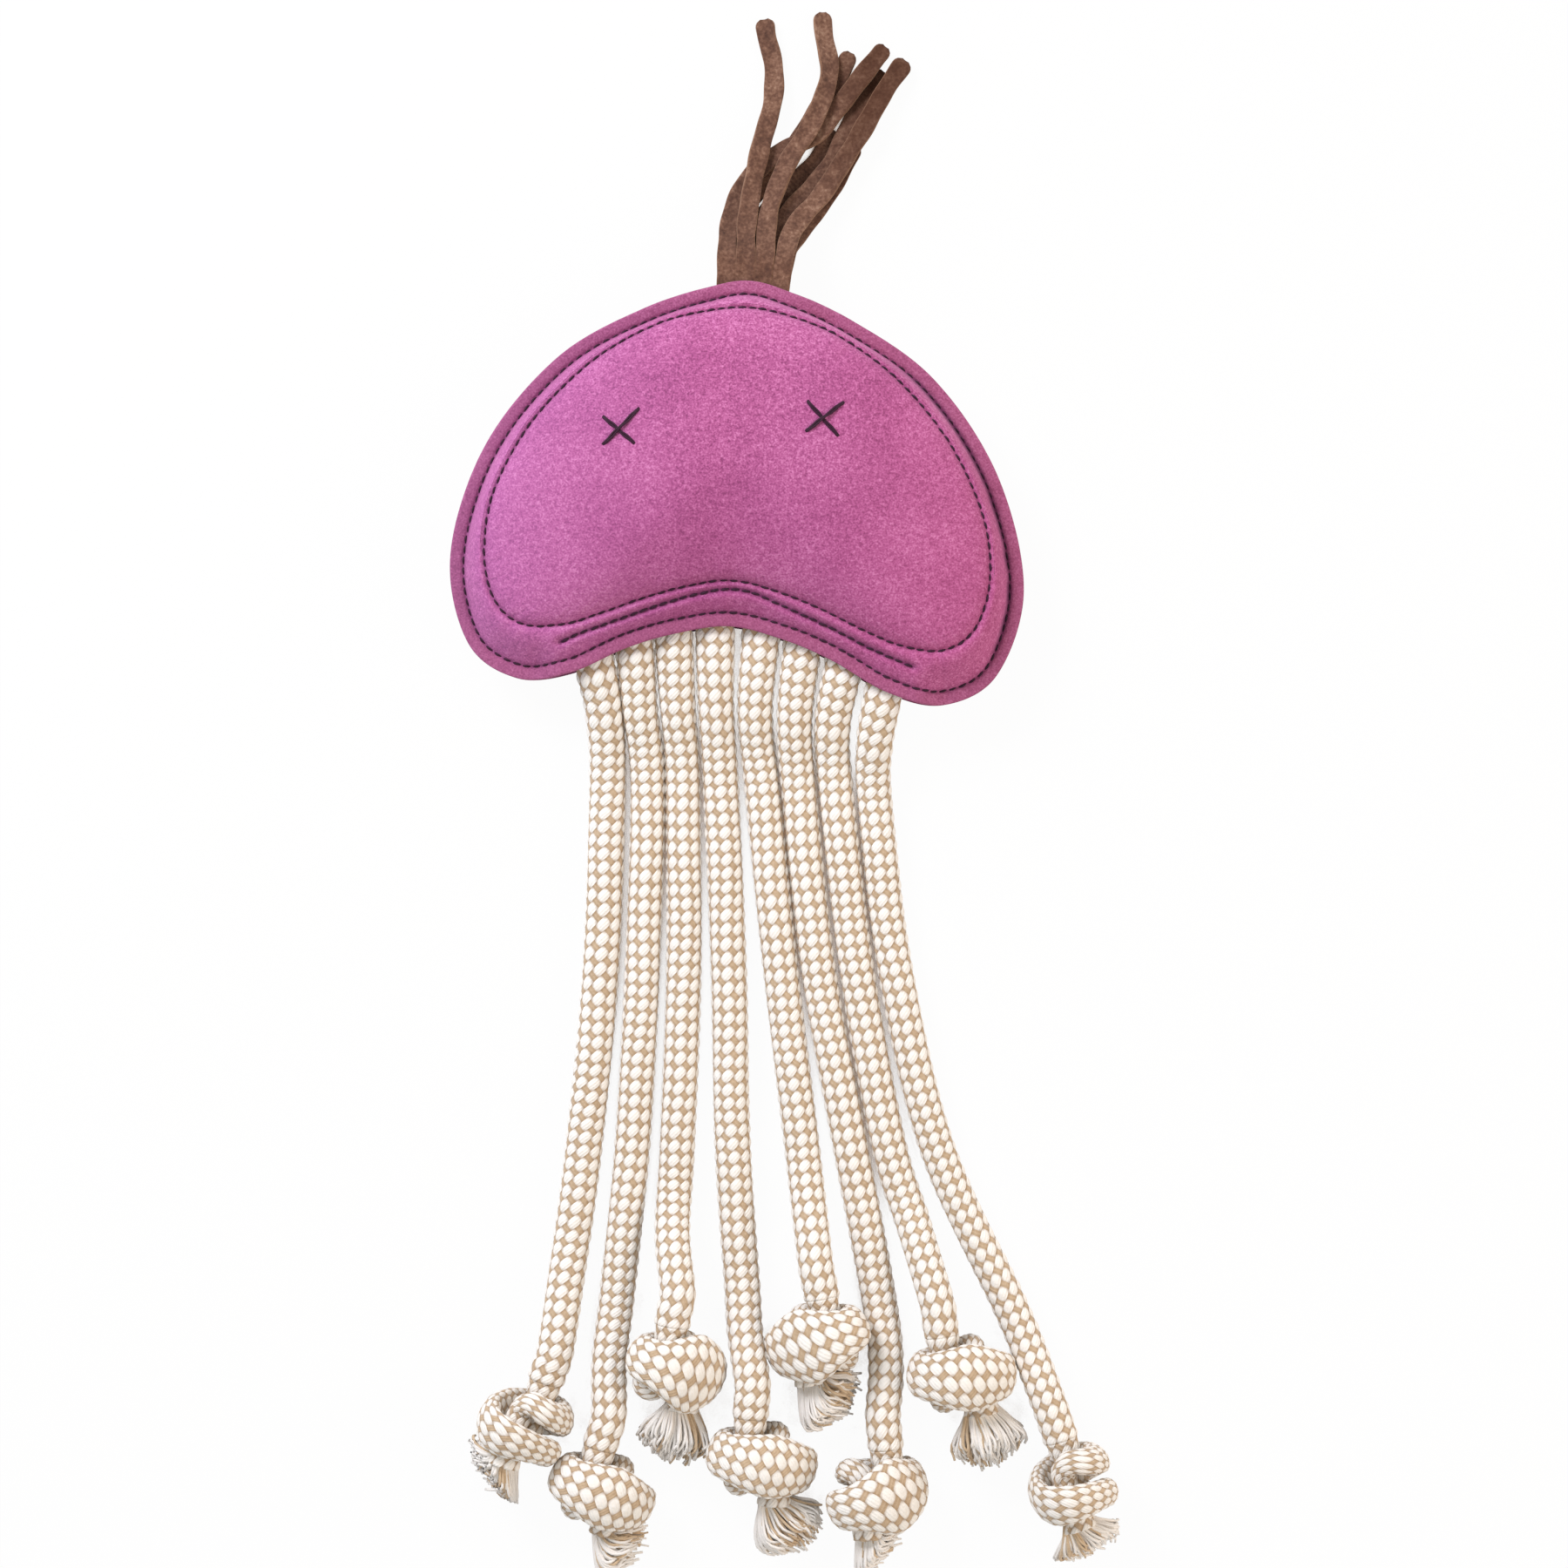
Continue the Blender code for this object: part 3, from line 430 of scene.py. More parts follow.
def panel_grid(rim, shoulder_height, dome, side, seed):
    """Rows of stations from the cut edge to the middle, and each point's distance in from the edge.

    Rim: level. Band: rises as a sine from the rim to the shoulder. Dome: height share
    (1 - (1 - f)^2)^0.75 at the share f of the way in. Each seam takes a bell-shaped groove out of it, and
    puckers are waves square to a seam that die away from it.
    """
    start = RIM_INSETS[-1]
    end = inner_inset + GROOVE_OFFSETS[0]
    steps = np.linspace(0, 1, BAND_ROWS + 1)[1:-1]
    band = start + (end - start)[None] * steps[:, None]
    band = np.vstack([band, end[None] - 0.0002])
    insets = np.vstack([np.broadcast_to(RIM_INSETS[:, None], (len(RIM_INSETS), STATIONS)), band,
                        inner_inset[None] + GROOVE_OFFSETS[:, None]])
    plan = edge[None] + inward[None] * insets[..., None]
    shoulder_plan = edge + inward * (inner_inset + GROOVE_OFFSETS[-1])[:, None]
    fractions = 1 - (1 - np.linspace(0, 1, DOME_ROWS + 2)[1:-1]) ** 1.15
    dome_plan = shoulder_plan[None] * (1 - fractions)[:, None, None]
    reach = np.linalg.norm(shoulder_plan, axis=1)
    dome_insets = inner_inset + GROOVE_OFFSETS[-1] + reach[None] * fractions[:, None]
    plan = np.concatenate([plan, dome_plan])
    insets = np.vstack([insets, dome_insets])
    past_seam = np.maximum(insets - SEAM_MARGIN, 0) / (inner_inset - SEAM_MARGIN)[None]
    climb = np.sin(np.clip(past_seam, 0, 1) * math.pi / 2) ** 1.15
    inside = np.clip((insets - inner_inset[None]) / (reach + GROOVE_OFFSETS[-1])[None], 0, 1)
    height = rim[None] + (shoulder_height - rim)[None] * climb + dome(inside)
    puff = np.sin(np.clip(past_seam, 0, 1) * math.pi) * 0.0007
    seam_distance = insets - SEAM_MARGIN
    inner_distance = insets - inner_inset[None]
    pucker = wander(seed, station_at, 45, 120)[None]
    slow = wander(seed + 1, station_at, 6, 30)[None]
    height = height + side * puff
    for distance, share, (depth, width) in (
            (seam_distance, 1, OUTER_GROOVE), (insets - GAPE_INSET, gape[None], GAPE_GROOVE),
            (inner_distance, 1, INNER_GROOVE), (from_rope_seam(plan), 1, ROPE_GROOVE)):
        height = height - side * depth * share * bell(distance, width)
    near_inner = np.exp(-np.abs(inner_distance) / 0.0035) * (1 - bell(inner_distance, INNER_GROOVE[1]))
    near_outer = np.exp(-np.abs(seam_distance) / 0.0022) * (1 - bell(seam_distance, 0.0008))
    height = height + side * INNER_PUCKER * pucker * near_inner + side * OUTER_PUCKER * pucker * near_outer
    height = height + side * SLOW_PUCKER * slow * np.exp(-np.abs(insets - 0.006) / 0.004)
    # The cut edge is a little rounded over
    height = height - side * EDGE_DROP * np.exp(-insets / 0.00025)
    return np.concatenate([plan, height[..., None]], axis=2), insets


def dome_share(fraction):
    """Height share of the dome from the inner seam, 0, to the middle, 1."""
    return (1 - (1 - fraction) ** 2) ** 0.75


RIM_FULLNESS = 0.0005
front_shoulder = JOINT_HEIGHT + SUEDE + SHOULDER_RISE
front_rim = JOINT_HEIGHT + parting + SUEDE + RIM_FULLNESS
front_dome_rise = JOINT_HEIGHT + DOME_HEIGHT - front_shoulder
front_grid, front_insets = panel_grid(front_rim, np.full(STATIONS, front_shoulder),
                                      lambda f: front_dome_rise * dome_share(f), 1, 5)
back_shoulder = JOINT_HEIGHT - SUEDE - SHOULDER_DROP
back_rim = JOINT_HEIGHT - parting - SUEDE - RIM_FULLNESS
back_grid, back_insets = panel_grid(back_rim, np.full(STATIONS, back_shoulder),
                                    lambda f: -back_shoulder * dome_share(np.clip(f / FLAT_FROM, 0, 1)), -1, 9)
back_grid[..., 2] = np.maximum(back_grid[..., 2], 0.0)

suede, suede_shader, where = new_finish("magenta_suede", 0.92, 0.25, (0.95, 0.50, 0.80, 1))
nap = where.noise(1900.0)
mottle = where.noise(800.0)
patches = where.noise(34.0)
edge_distance = where.attribute("edge_distance")
crease = where.attribute("crease")
shade = ((nap - 0.5) * 1.8 + (mottle - 0.5) * 1.0 + (patches - 0.5) * 0.7 + 0.5).clamp()
colour = shade.node("ShaderNodeValToRGB", {"stops": [
    (0.0, (0.250, 0.048, 0.150, 1)), (0.35, (0.390, 0.086, 0.240, 1)), (0.6, (0.490, 0.124, 0.310, 1)),
    (1.0, (0.680, 0.240, 0.480, 1)),
]}, {"Fac": shade}, "Color")
across = where.axis("X")
upwards = where.axis("Y")
# Painted light: lilac from the cool window on the left, redder from the warm lamp on the right
painted_cool_light = ((-0.010 - across) / 0.070).clamp()
colour = (painted_cool_light * 0.30).tint(colour, (0.500, 0.190, 0.520, 1))
painted_warm_light = ((across - 0.020) / 0.060).clamp()
colour = (painted_warm_light * 0.28).tint(colour, (0.480, 0.080, 0.170, 1))
# Painted shade: darker towards the bottom middle of the head
shadowed = ((0.010 - upwards) / 0.050).clamp() * (1.0 - across * across / 0.0036).clamp()
colour = (shadowed * 0.32).tint(colour, (0.270, 0.045, 0.160, 1))
# Darker out to the outer seam: partly the duller cut edge of the suede, partly painted shade where the edge turns down
rim = (1.0 - (edge_distance - 0.0034) / 0.0008).clamp()
rim_tone_and_painted_shade = nap.tint((0.150, 0.030, 0.075, 1), (0.430, 0.130, 0.230, 1))
colour = (rim * 0.60).tint(colour, rim_tone_and_painted_shade)
# Painted shade: dark in the seams' creases, along the ropes' row and in the gap on the right
colour = (crease * 0.75).tint(colour, (0.090, 0.012, 0.065, 1))
colour.feed(suede_shader.inputs["Base Color"])
fluff = where.noise(1500.0)
relief = fluff * 0.5 + nap * 0.6 + mottle * 0.5
relief.bump(0.55, 0.00035, suede_shader)

INSIDE_STEP = 3


def add_panel(name, grid, insets, middle, side):
    """A closed panel: the rows of its outer face from the middle of the dome out to the edge, and then every
    third row of its inside, which is the outer face moved in by the suede's thickness.
    """
    within = np.array([0.0, 0.0, -side * SUEDE])
    inside_rows = np.arange(0, len(grid), INSIDE_STEP)
    sheet = np.concatenate([grid[::-1], grid[inside_rows] + within])
    points = np.vstack([sheet.reshape(-1, 3), middle, middle + within])
    panel = add_piece(name, points, grid_quads(len(sheet), STATIONS)[:, ::side], suede, None,
                      end_fans(len(sheet), STATIONS)[:, ::side])
    all_insets = np.concatenate([insets[::-1], insets[inside_rows]])
    set_attribute(panel, "edge_distance", np.append(all_insets.ravel(), [insets.max()] * 2))
    # Painted shade for the suede's colour: dark in the seams' creases, the ropes' row and the gap on the right
    painted_crease_shades = 0.55 * bell(insets - SEAM_MARGIN, 0.0005) + 0.45 * bell(insets - inner_inset[None], 0.0005)
    painted_crease_shades = painted_crease_shades + bell(from_rope_seam(grid[..., :2]), 0.0007)
    painted_crease_shades = painted_crease_shades + 1.3 * gape[None] * bell(insets - GAPE_INSET, GAPE_GROOVE[1])
    painted_crease_shades = np.clip(painted_crease_shades, 0, 1)
    painted_crease_shades = np.concatenate([painted_crease_shades[::-1], painted_crease_shades[inside_rows]])
    set_attribute(panel, "crease", np.append(painted_crease_shades.ravel(), [0.0, 0.0]))
    return panel


front_middle = np.array([[0.0, 0.0, JOINT_HEIGHT + DOME_HEIGHT]])
front_panel = add_panel("front_suede", front_grid, front_insets, front_middle, 1)
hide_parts("front_panel")
back_panel = add_panel("back_suede", back_grid, back_insets, np.zeros((1, 3)), -1)
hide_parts("back_panel")

# Eyes
# Each eye is a cross of two long hand stitches in doubled plum thread, pulled down into the suede, so that it
# dimples at the four holes.
thread_finish, thread_shader, where = new_finish("plum_thread", 0.6, 0.2, (0.6, 0.3, 0.5, 1))
fibre = where.noise(2500.0)
fibre.tint((0.012, 0.002, 0.009, 1), (0.050, 0.010, 0.034, 1)).feed(thread_shader.inputs["Base Color"])
fibre.bump(0.5, 0.0001, thread_shader)
surface_faces = grid_quads(len(front_grid), STATIONS).tolist()
front_points = [Vector(point) for point in front_grid.reshape(-1, 3)]
front_surface = BVHTree.FromPolygons(front_points, surface_faces)


def on_front(x, y):
    """Height of the front panel over a point of the plan."""
    hit = front_surface.ray_cast(Vector((x, y, 1.0)), Vector((0, 0, -1)))[0]
    return hit.z if hit is not None else JOINT_HEIGHT + DOME_HEIGHT


def tubes(lines, radii, sides):
    """Tubes round many lines at once: lines is (tubes, rings, 3), radii (tubes, rings), ends closed by a point.

    Each ring is a circle in the plane square to its line, counted from the direction nearest to up.
    """
    along = unit(np.gradient(lines, axis=1))
    up = np.broadcast_to(np.array([0.0, 0.0, 1.0]), along.shape)
    tilted = np.abs(along[..., 2]) > 0.9
    up = np.where(tilted[..., None], np.array([1.0, 0.0, 0.0]), up)
    side = unit(np.cross(along, up))
    over = np.cross(side, along)
    turns = np.arange(sides) / sides * 2 * math.pi
    circle = side[:, :, None] * np.cos(turns)[:, None] + over[:, :, None] * np.sin(turns)[:, None]
    rings = lines[:, :, None] + circle * radii[:, :, None, None]
    count, length = lines.shape[:2]
    per_tube = length * sides + 2
    points = np.concatenate([rings.reshape(count, -1, 3), lines[:, :1], lines[:, -1:]], axis=1)
    body = grid_quads(length, sides)[:, ::-1]
    ends = end_fans(length, sides)[:, ::-1]
    shift = (np.arange(count) * per_tube)[:, None, None]
    return points.reshape(-1, 3), (body[None] + shift).reshape(-1, 4), (ends[None] + shift).reshape(-1, 3)


EYE_STITCHES = {
    "left_eye": [((-39.3, 7.4), (-28.9, -0.6)), ((-28.2, 10.4), (-38.8, -1.5))],
    "right_eye": [((18.1, 14.9), (28.3, 4.6)), ((29.3, 15.3), (18.1, 5.3))],
}
EYE_SINK = 0.0011
CROSSING_RISE = 0.0006
STRAND_APART = 0.00024
STRAND_RADIUS = 0.00030
STITCH_RINGS = 17
for eye, arms in EYE_STITCHES.items():
    lines = []
    radii = []
    for order, (first, second) in enumerate(arms):
        first = np.array(first) * MM
        second = np.array(second) * MM
        share = np.linspace(0, 1, STITCH_RINGS)
        plan = first + (second - first) * share[:, None]
        heights = np.array([on_front(*point) for point in plan])
        sunk = EYE_SINK * (bell(share, 0.07) + bell(1 - share, 0.07))
        crossing = CROSSING_RISE * order * bell(share - 0.5, 0.16)
        across = unit(np.array([-(second - first)[1], (second - first)[0]]))
        for strand in (-1, 1):
            twist = np.cos(share * math.pi * 5 + strand) * 0.00012
            offset = across * strand * STRAND_APART + across * twist[:, None]
            lines.append(np.column_stack([plan + offset, heights + STRAND_RADIUS - sunk + crossing]))
            radii.append(STRAND_RADIUS + 0.00016 * (np.abs(share - 0.5) * 2) ** 3)
    points, quads, ends = tubes(np.array(lines), np.array(radii), 8)
    piece = add_piece(eye + "_stitches", points, quads, thread_finish, None, ends)
    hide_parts(eye)

# Ropes, knots and tufts
# Eight lengths of 10 mm cotton cord, braided from eight white strands and eight thinner beige ones. Each end
# is tied in an overhand knot, pulled tight, and the yarns past it are left to fray.
ROPE_DIAMETER = 0.0100
ROPE_SQUEEZE = 0.82
ROPE_INSIDE = 0.0120
KNOT_LEAD = 0.010
KNOT_STRAIGHT = 0.004
KNOT_RISE = 0.040
EXIT = 15.0
LYING = 5.2
FALL = 10.7
# Each rope's way in millimetres. It leaves the head at the first point, falls past the second and then lies
ROUTES = {
    1: [(-38, -63), (-35, -75), (-33, -97), (-32, -150), (-34, -201), (-36.6, -236)],
    2: [(-27, -57.3), (-24.8, -74), (-21.4, -96), (-20, -149), (-20, -201), (-22, -244), (-23, -262)],
    3: [(-16, -53.3), (-13.8, -73), (-11.3, -95), (-8, -149), (-7, -200), (-7, -224)],
    4: [(-4.2, -50.2), (-2.8, -73), (-0.3, -95), (5, -148), (9, -199), (14.1, -240), (15.6, -252)],
    5: [(9, -51), (8.5, -73), (11.5, -94), (20, -147), (29, -198), (31.8, -214)],
    6: [(21, -54), (20, -75), (22.5, -96), (31, -147), (43, -197), (54, -242), (56.8, -260)],
    7: [(33, -60), (31, -76), (33, -94), (42, -146), (54, -196), (62.6, -219)],
    8: [(45, -66), (43.5, -80), (44.5, -97), (53, -145), (68, -196), (91.3, -240), (98.2, -254)],
}
# How much fuller than the plain cord, and over what length past the arch a rope is pressed wider and flatter
FULLNESS = {1: 1.07, 4: 1.04}
OTHER_FULLNESS = 1.02
PRESSED_OVER = 0.028
PRESSED_WIDER = 0.09
PRESSED_FLATTER = 0.16
# The flat side faces straight up over this length and past it turns as the knot's first ring does
LEVEL_OVER = 0.06
# x and y of each knot's middle, its turn on the table and roll about the rope, the hand it is tied with, its
# collar's half width, how loose it is, its tuft's heading, and the tuft's share of the full length
KNOTS = {
    1: (-46.3, -281.0, -14, 240, -1, 0.72, 1.03, -52, 0.5),
    2: (-22.8, -299.8, -12, 20, -1, 0.86, 1.0, 72, 0.72),
    3: (-3.3, -263.0, -6, 40, -1, 1.05, 1.0, -12, 1.0),
    4: (22.7, -288.5, 0, 20, -1, 0.84, 1.03, 40, 1.0),
    5: (36.3, -253.1, 14, -25, 1, 1.00, 1.0, 58, 0.85),
    6: (56.4, -295.7, 8, 35, 1, 1.00, 1.0, 58, 0.5),
    7: (78.7, -260.6, 12, 15, -1, 0.88, 1.0, 16, 1.0),
    8: (111.1, -289.6, 22, 248, -1, 0.72, 1.0, 32, 0.65),
}
# The knot in units of its own: half its line from the front of the collar, and the strand's distance from there
# with its half width and half depth
KNOT_UNIT = 0.0304 / 2.76
KNOT_POINTS = 260
KNOT_HALF_LINE = np.array([
    (0.00, -0.78, 0.00), (0.62, -0.65, 0.10), (1.09, -0.22, 0.20), (1.09, 0.30, 0.29), (0.60, 0.70, 0.37),
    (0.02, 0.84, 0.44), (-0.40, 0.73, 0.56), (-0.50, 0.40, 0.64), (-0.42, 0.10, 0.44), (-0.38, 0.02, 0.00),
    (-0.38, 0.02, -0.50), (-0.38, 0.02, -1.10),
])
KNOT_STRAND = np.array([(0.0, 0.70, 0.29), (1.5, 0.58, 0.29), (2.8, 0.40, 0.29), (4.0, 0.34, 0.30),
                        (4.8, 0.32, 0.32), (5.4, 0.38, 0.38), (5.9, 0.45, 0.45)])
KNOT_ROUNDNESS = np.array([1.1, 0.8, 0.9])
COLLAR_REACH = 1.4
COLLAR_TUCK = 0.12
COLLAR_END = 4.3
FLOOR_LIFT = 0.0002
# The braid: strands of each colour, the length in which its pattern repeats, and how high its strands stand
BRAID_STRANDS = 8
COLLAR_STRANDS = 11
BRAID_REPEAT = 0.0041
BRAID_SIDES = 48
BRAID_SPACING = 0.00060
BRAID_MIDDLE = 1.08
BRAID_DEPTH = 0.00080
WEAVE_RISE = 0.32
WHITE_HALF = 0.64
BEIGE_HALF = 0.41
BEIGE_STAND = 0.74
# Length of cord on one unit of the UV map
UV_LENGTH = 0.01


def braid_height(turn, along):
    """Height of the braid's face at a share of a turn and a distance along.

    White strands are the lines 8 turns - along / repeat = whole number and beige ones 8 turns + along / repeat.
    Each strand's height is a cosine that is up where it goes over, plus a half round across it, and the higher
    one shows.
    """
    a = turn * BRAID_STRANDS - along / BRAID_REPEAT
    b = turn * BRAID_STRANDS + along / BRAID_REPEAT
    i = np.round(a)
    j = np.round(b)
    over_white = (b - i + 1) % 2 - 1
    over_beige = (a - j) % 2 - 1
    across_white = np.sqrt(np.maximum(0, 1 - ((a - i) / WHITE_HALF) ** 2))
    across_beige = np.sqrt(np.maximum(0, 1 - ((b - j) / BEIGE_HALF) ** 2))
    white = WEAVE_RISE * np.cos(over_white * math.pi) + across_white
    beige = WEAVE_RISE * np.cos(over_beige * math.pi) + across_beige * BEIGE_STAND
    return np.maximum(white, beige)


cotton, cotton_shader, where = new_finish("cotton_rope", 0.95, 0.25)
on_cord = where.node("ShaderNodeUVMap", {"uv_map": "UVMap"}, {}, "UV")
turn = on_cord.axis("X")
along = on_cord.axis("Y")
a = turn * BRAID_STRANDS - along / (BRAID_REPEAT / UV_LENGTH)
b = turn * BRAID_STRANDS + along / (BRAID_REPEAT / UV_LENGTH)
i = a.math("ROUND", a)
j = b.math("ROUND", b)
over_white = a.math("WRAP", b - i, 1.0, -1.0)
over_beige = a.math("WRAP", a - j - 1.0, 1.0, -1.0)
across_a = (a - i) / WHITE_HALF
across_b = (b - j) / BEIGE_HALF
round_white = a.math("SQRT", a.math("MAXIMUM", 1.0 - across_a * across_a, 0.0))
round_beige = a.math("SQRT", a.math("MAXIMUM", 1.0 - across_b * across_b, 0.0))
white = a.math("COSINE", over_white * math.pi) * WEAVE_RISE + round_white
beige = a.math("COSINE", over_beige * math.pi) * WEAVE_RISE + round_beige * BEIGE_STAND
white_share = ((white - beige) * 9.0 + 0.5).clamp()
height = a.math("MAXIMUM", white, beige)
fuzz = where.noise(1400.0, 3.0)
soil = where.noise(60.0)
yarn_turns = 2 * math.pi * 3.5
yarns_white = a.math("SINE", (a - i) * yarn_turns) * white_share
yarns_beige = a.math("SINE", (b - j) * yarn_turns) * (1.0 - white_share)
yarns = yarns_white + yarns_beige
tan = (fuzz + (soil - 0.5) * 0.8).clamp().tint((0.440, 0.310, 0.190, 1), (0.700, 0.540, 0.370, 1))
cream = (fuzz + (soil - 0.5) * 0.5).clamp().tint((0.900, 0.850, 0.770, 1), (0.990, 0.975, 0.940, 1))
colour = white_share.tint(tan, cream)
# Painted shade: dark brown in the hollows between the strands, where the braid's face sinks low
painted_hollow_shade = (1.0 - (height - 0.50) / 0.48).clamp()
colour = (painted_hollow_shade * 0.95).tint(colour, (0.330, 0.205, 0.105, 1))
colour.feed(cotton_shader.inputs["Base Color"])
relief = height * 0.25 + yarns * 0.10 + fuzz * 0.35
relief.bump(0.7, 0.0006, cotton_shader)

yarn_finish, yarn_shader, where = new_finish("frayed_yarn", 0.95, 0.2)
tan_share = where.attribute("tan_share")
from_root = where.attribute("from_root")
fuzz = where.noise(1800.0, 3.0)
pale = fuzz.tint((0.880, 0.840, 0.790, 1), (0.990, 0.975, 0.950, 1))
tan = fuzz.tint((0.520, 0.370, 0.220, 1), (0.780, 0.620, 0.440, 1))
colour = tan_share.tint(pale, tan)
# Painted shade: darker near the root, where the yarns crowd together
colour = ((1.0 - from_root) * 0.16).tint(colour, (0.400, 0.300, 0.190, 1))
colour.feed(yarn_shader.inputs["Base Color"])
fuzz.bump(0.5, 0.0002, yarn_shader)

knot_line = smooth_line(np.vstack([(KNOT_HALF_LINE[1:] * (-1, 1, -1))[::-1], KNOT_HALF_LINE]))
knot_length = lengths_along(knot_line)[-1]
knot_line = at_lengths(knot_line, np.linspace(0, knot_length, KNOT_POINTS))


def brought_to(rings, columns):
    """Values along the knot's line, a column each, brought to a number of rings spaced evenly along it."""
    marks = np.linspace(0, KNOT_POINTS - 1, rings)
    return np.stack([np.interp(marks, np.arange(KNOT_POINTS), column) for column in columns.T], axis=-1)


TUFT_REACH = 0.0150
TUFT_LEVEL = 0.0078
TUFT_NECK = 0.003
# How far the tuft's cone has opened at each of the three free points of a yarn's curve
OPENED = (0.0080, 0.0130, 0.0098)
YARNS = 300
YARN_RINGS = 9
YARN_SIDES = 5
YARN_RADII = (0.00036, 0.00056)
YARN_WAVE = 0.00045
YARN_SCATTER = 0.0008
YARN_LIFT = 0.0003
# The share of tan yarns anywhere, what one side has more, and the cosine of the angle from its middle to its end
TAN_SHARE = 0.10
TAN_MORE = 0.40
TAN_SIDE = 0.76

for number, route in ROUTES.items():
    x, y, turn, roll, hand, collar, loose, heading, tuft_share = KNOTS[number]
    angle = math.radians(turn)
    rolled = math.radians(roll)
    # The knot's own z runs back up the rope and its y into the table
    about_rope = np.array([[math.cos(rolled), -math.sin(rolled), 0], [math.sin(rolled), math.cos(rolled), 0],
                           [0, 0, 1]])
    on_table = np.array([[math.cos(angle), 0, -math.sin(angle)], [math.sin(angle), 0, math.cos(angle)], [0, -1, 0]])
    rotation = on_table @ about_rope
    in_place = knot_line * loose * KNOT_UNIT * (hand, 1, 1) @ rotation.T
    outwards = knot_line / KNOT_ROUNDNESS ** 2 * (hand, 1, 1) @ rotation.T
    from_front = np.abs(np.linspace(-0.5, 0.5, len(knot_line))) * knot_length
    collar_share = ease(1 - from_front / COLLAR_REACH)
    strand_width = np.interp(from_front, KNOT_STRAND[:, 0], KNOT_STRAND[:, 1])
    strand_width = (strand_width + collar_share * (collar - strand_width.max())) * KNOT_UNIT
    strand_depth = np.interp(from_front, KNOT_STRAND[:, 0], KNOT_STRAND[:, 2]) * KNOT_UNIT
    along = unit(np.gradient(in_place, axis=0))
    thin = unit(outwards - along * np.sum(outwards * along, axis=1)[:, None])
    wide = np.cross(along, thin)
    reach_down = np.sqrt((strand_depth * thin[:, 2]) ** 2 + (strand_width * wide[:, 2]) ** 2)
    lift = FLOOR_LIFT - (in_place[:, 2] - reach_down).min()
    in_place = in_place + (x * MM, y * MM, lift)
    neck = in_place[0]
    up_rope = rotation[:, 2]
    way = np.column_stack([route, [EXIT, FALL] + [LYING] * (len(route) - 2)]) * MM
    back = way[0] - way[1]
    back[2] = 0
    start_point = way[0] + unit(back) * ROPE_INSIDE
    last_three = np.array([neck + up_rope * stretch for stretch in (KNOT_LEAD, KNOT_STRAIGHT, 0.0)])
    last_three[:, 2] = LYING * MM
    line = smooth_line(np.vstack([start_point, way, last_three]))
    to_neck = lengths_along(line)[-1] - lengths_along(line)
    climb = (neck[2] - LYING * MM) * ease(1 - (to_neck - KNOT_STRAIGHT) / KNOT_RISE)
    line[:, 2] = np.maximum(line[:, 2], LYING * MM + climb)
    rope_length = lengths_along(line)[-1]
    rope_rings = int(round(rope_length / BRAID_SPACING))
    knot_reach = lengths_along(in_place)[-1]
    knot_rings = int(round(knot_reach / BRAID_SPACING))
    rope_part = at_lengths(line, np.linspace(0, rope_length, rope_rings + 1))
    knot_part = at_lengths(in_place, np.linspace(0, knot_reach, knot_rings + 1))
    knot_out = brought_to(knot_rings + 1, outwards)
    measures = np.column_stack([strand_width, strand_depth, collar_share, from_front])
    knot_width, knot_depth, knot_collar, knot_from_front = brought_to(knot_rings + 1, measures).T
    path = np.vstack([rope_part, knot_part[1:]])
    count = len(path)
    tangents = unit(np.gradient(path, axis=0))
    places = lengths_along(path)
    # Side directions carried along without twist, so that the braid doesn't turn round the cord
    carried = np.zeros((count, 3))
    carried[0] = unit(np.cross(tangents[0], (0, 0, 1)))
    for ring in range(1, count):
        square = carried[ring - 1] - tangents[ring] * np.dot(carried[ring - 1], tangents[ring])
        carried[ring] = square / np.linalg.norm(square)
    beside = np.cross(tangents, carried)
    squash = np.vstack([np.repeat(knot_out[:1], rope_rings, axis=0), knot_out])
    squash[places < LEVEL_OVER] = (0.0, 0.0, 1.0)
    squash = unit(squash - tangents * np.sum(squash * tangents, axis=1)[:, None])
    wide = np.cross(tangents, squash)
    radius = ROPE_DIAMETER / 2
    narrow = radius * (ROPE_SQUEEZE + (1 - ROPE_SQUEEZE) * ease((places - ROPE_INSIDE + 0.001) / 0.004))
    fullness = FULLNESS.get(number, OTHER_FULLNESS)
    pressed = ease(1 - (places - ROPE_INSIDE) / PRESSED_OVER)
    half_width = radius * fullness * (1 + PRESSED_WIDER * pressed)
    half_depth = narrow * fullness * (1 - PRESSED_FLATTER * pressed)
    tuck = np.zeros(count)
    half_width[rope_rings:] = knot_width
    half_depth[rope_rings:] = knot_depth
    tuck[rope_rings:] = knot_collar * COLLAR_TUCK * KNOT_UNIT
    turns = np.arange(BRAID_SIDES) / BRAID_SIDES
    directions = (carried[:, None] * np.cos(turns * 2 * math.pi)[:, None]
                  + beside[:, None] * np.sin(turns * 2 * math.pi)[:, None])
    # The collar is drawn tight, so its strands lie finer. The change hides inside the knot
    finer = np.ones(count)
    finer[rope_rings:] += (COLLAR_STRANDS / BRAID_STRANDS - 1) * (knot_from_front < COLLAR_END)
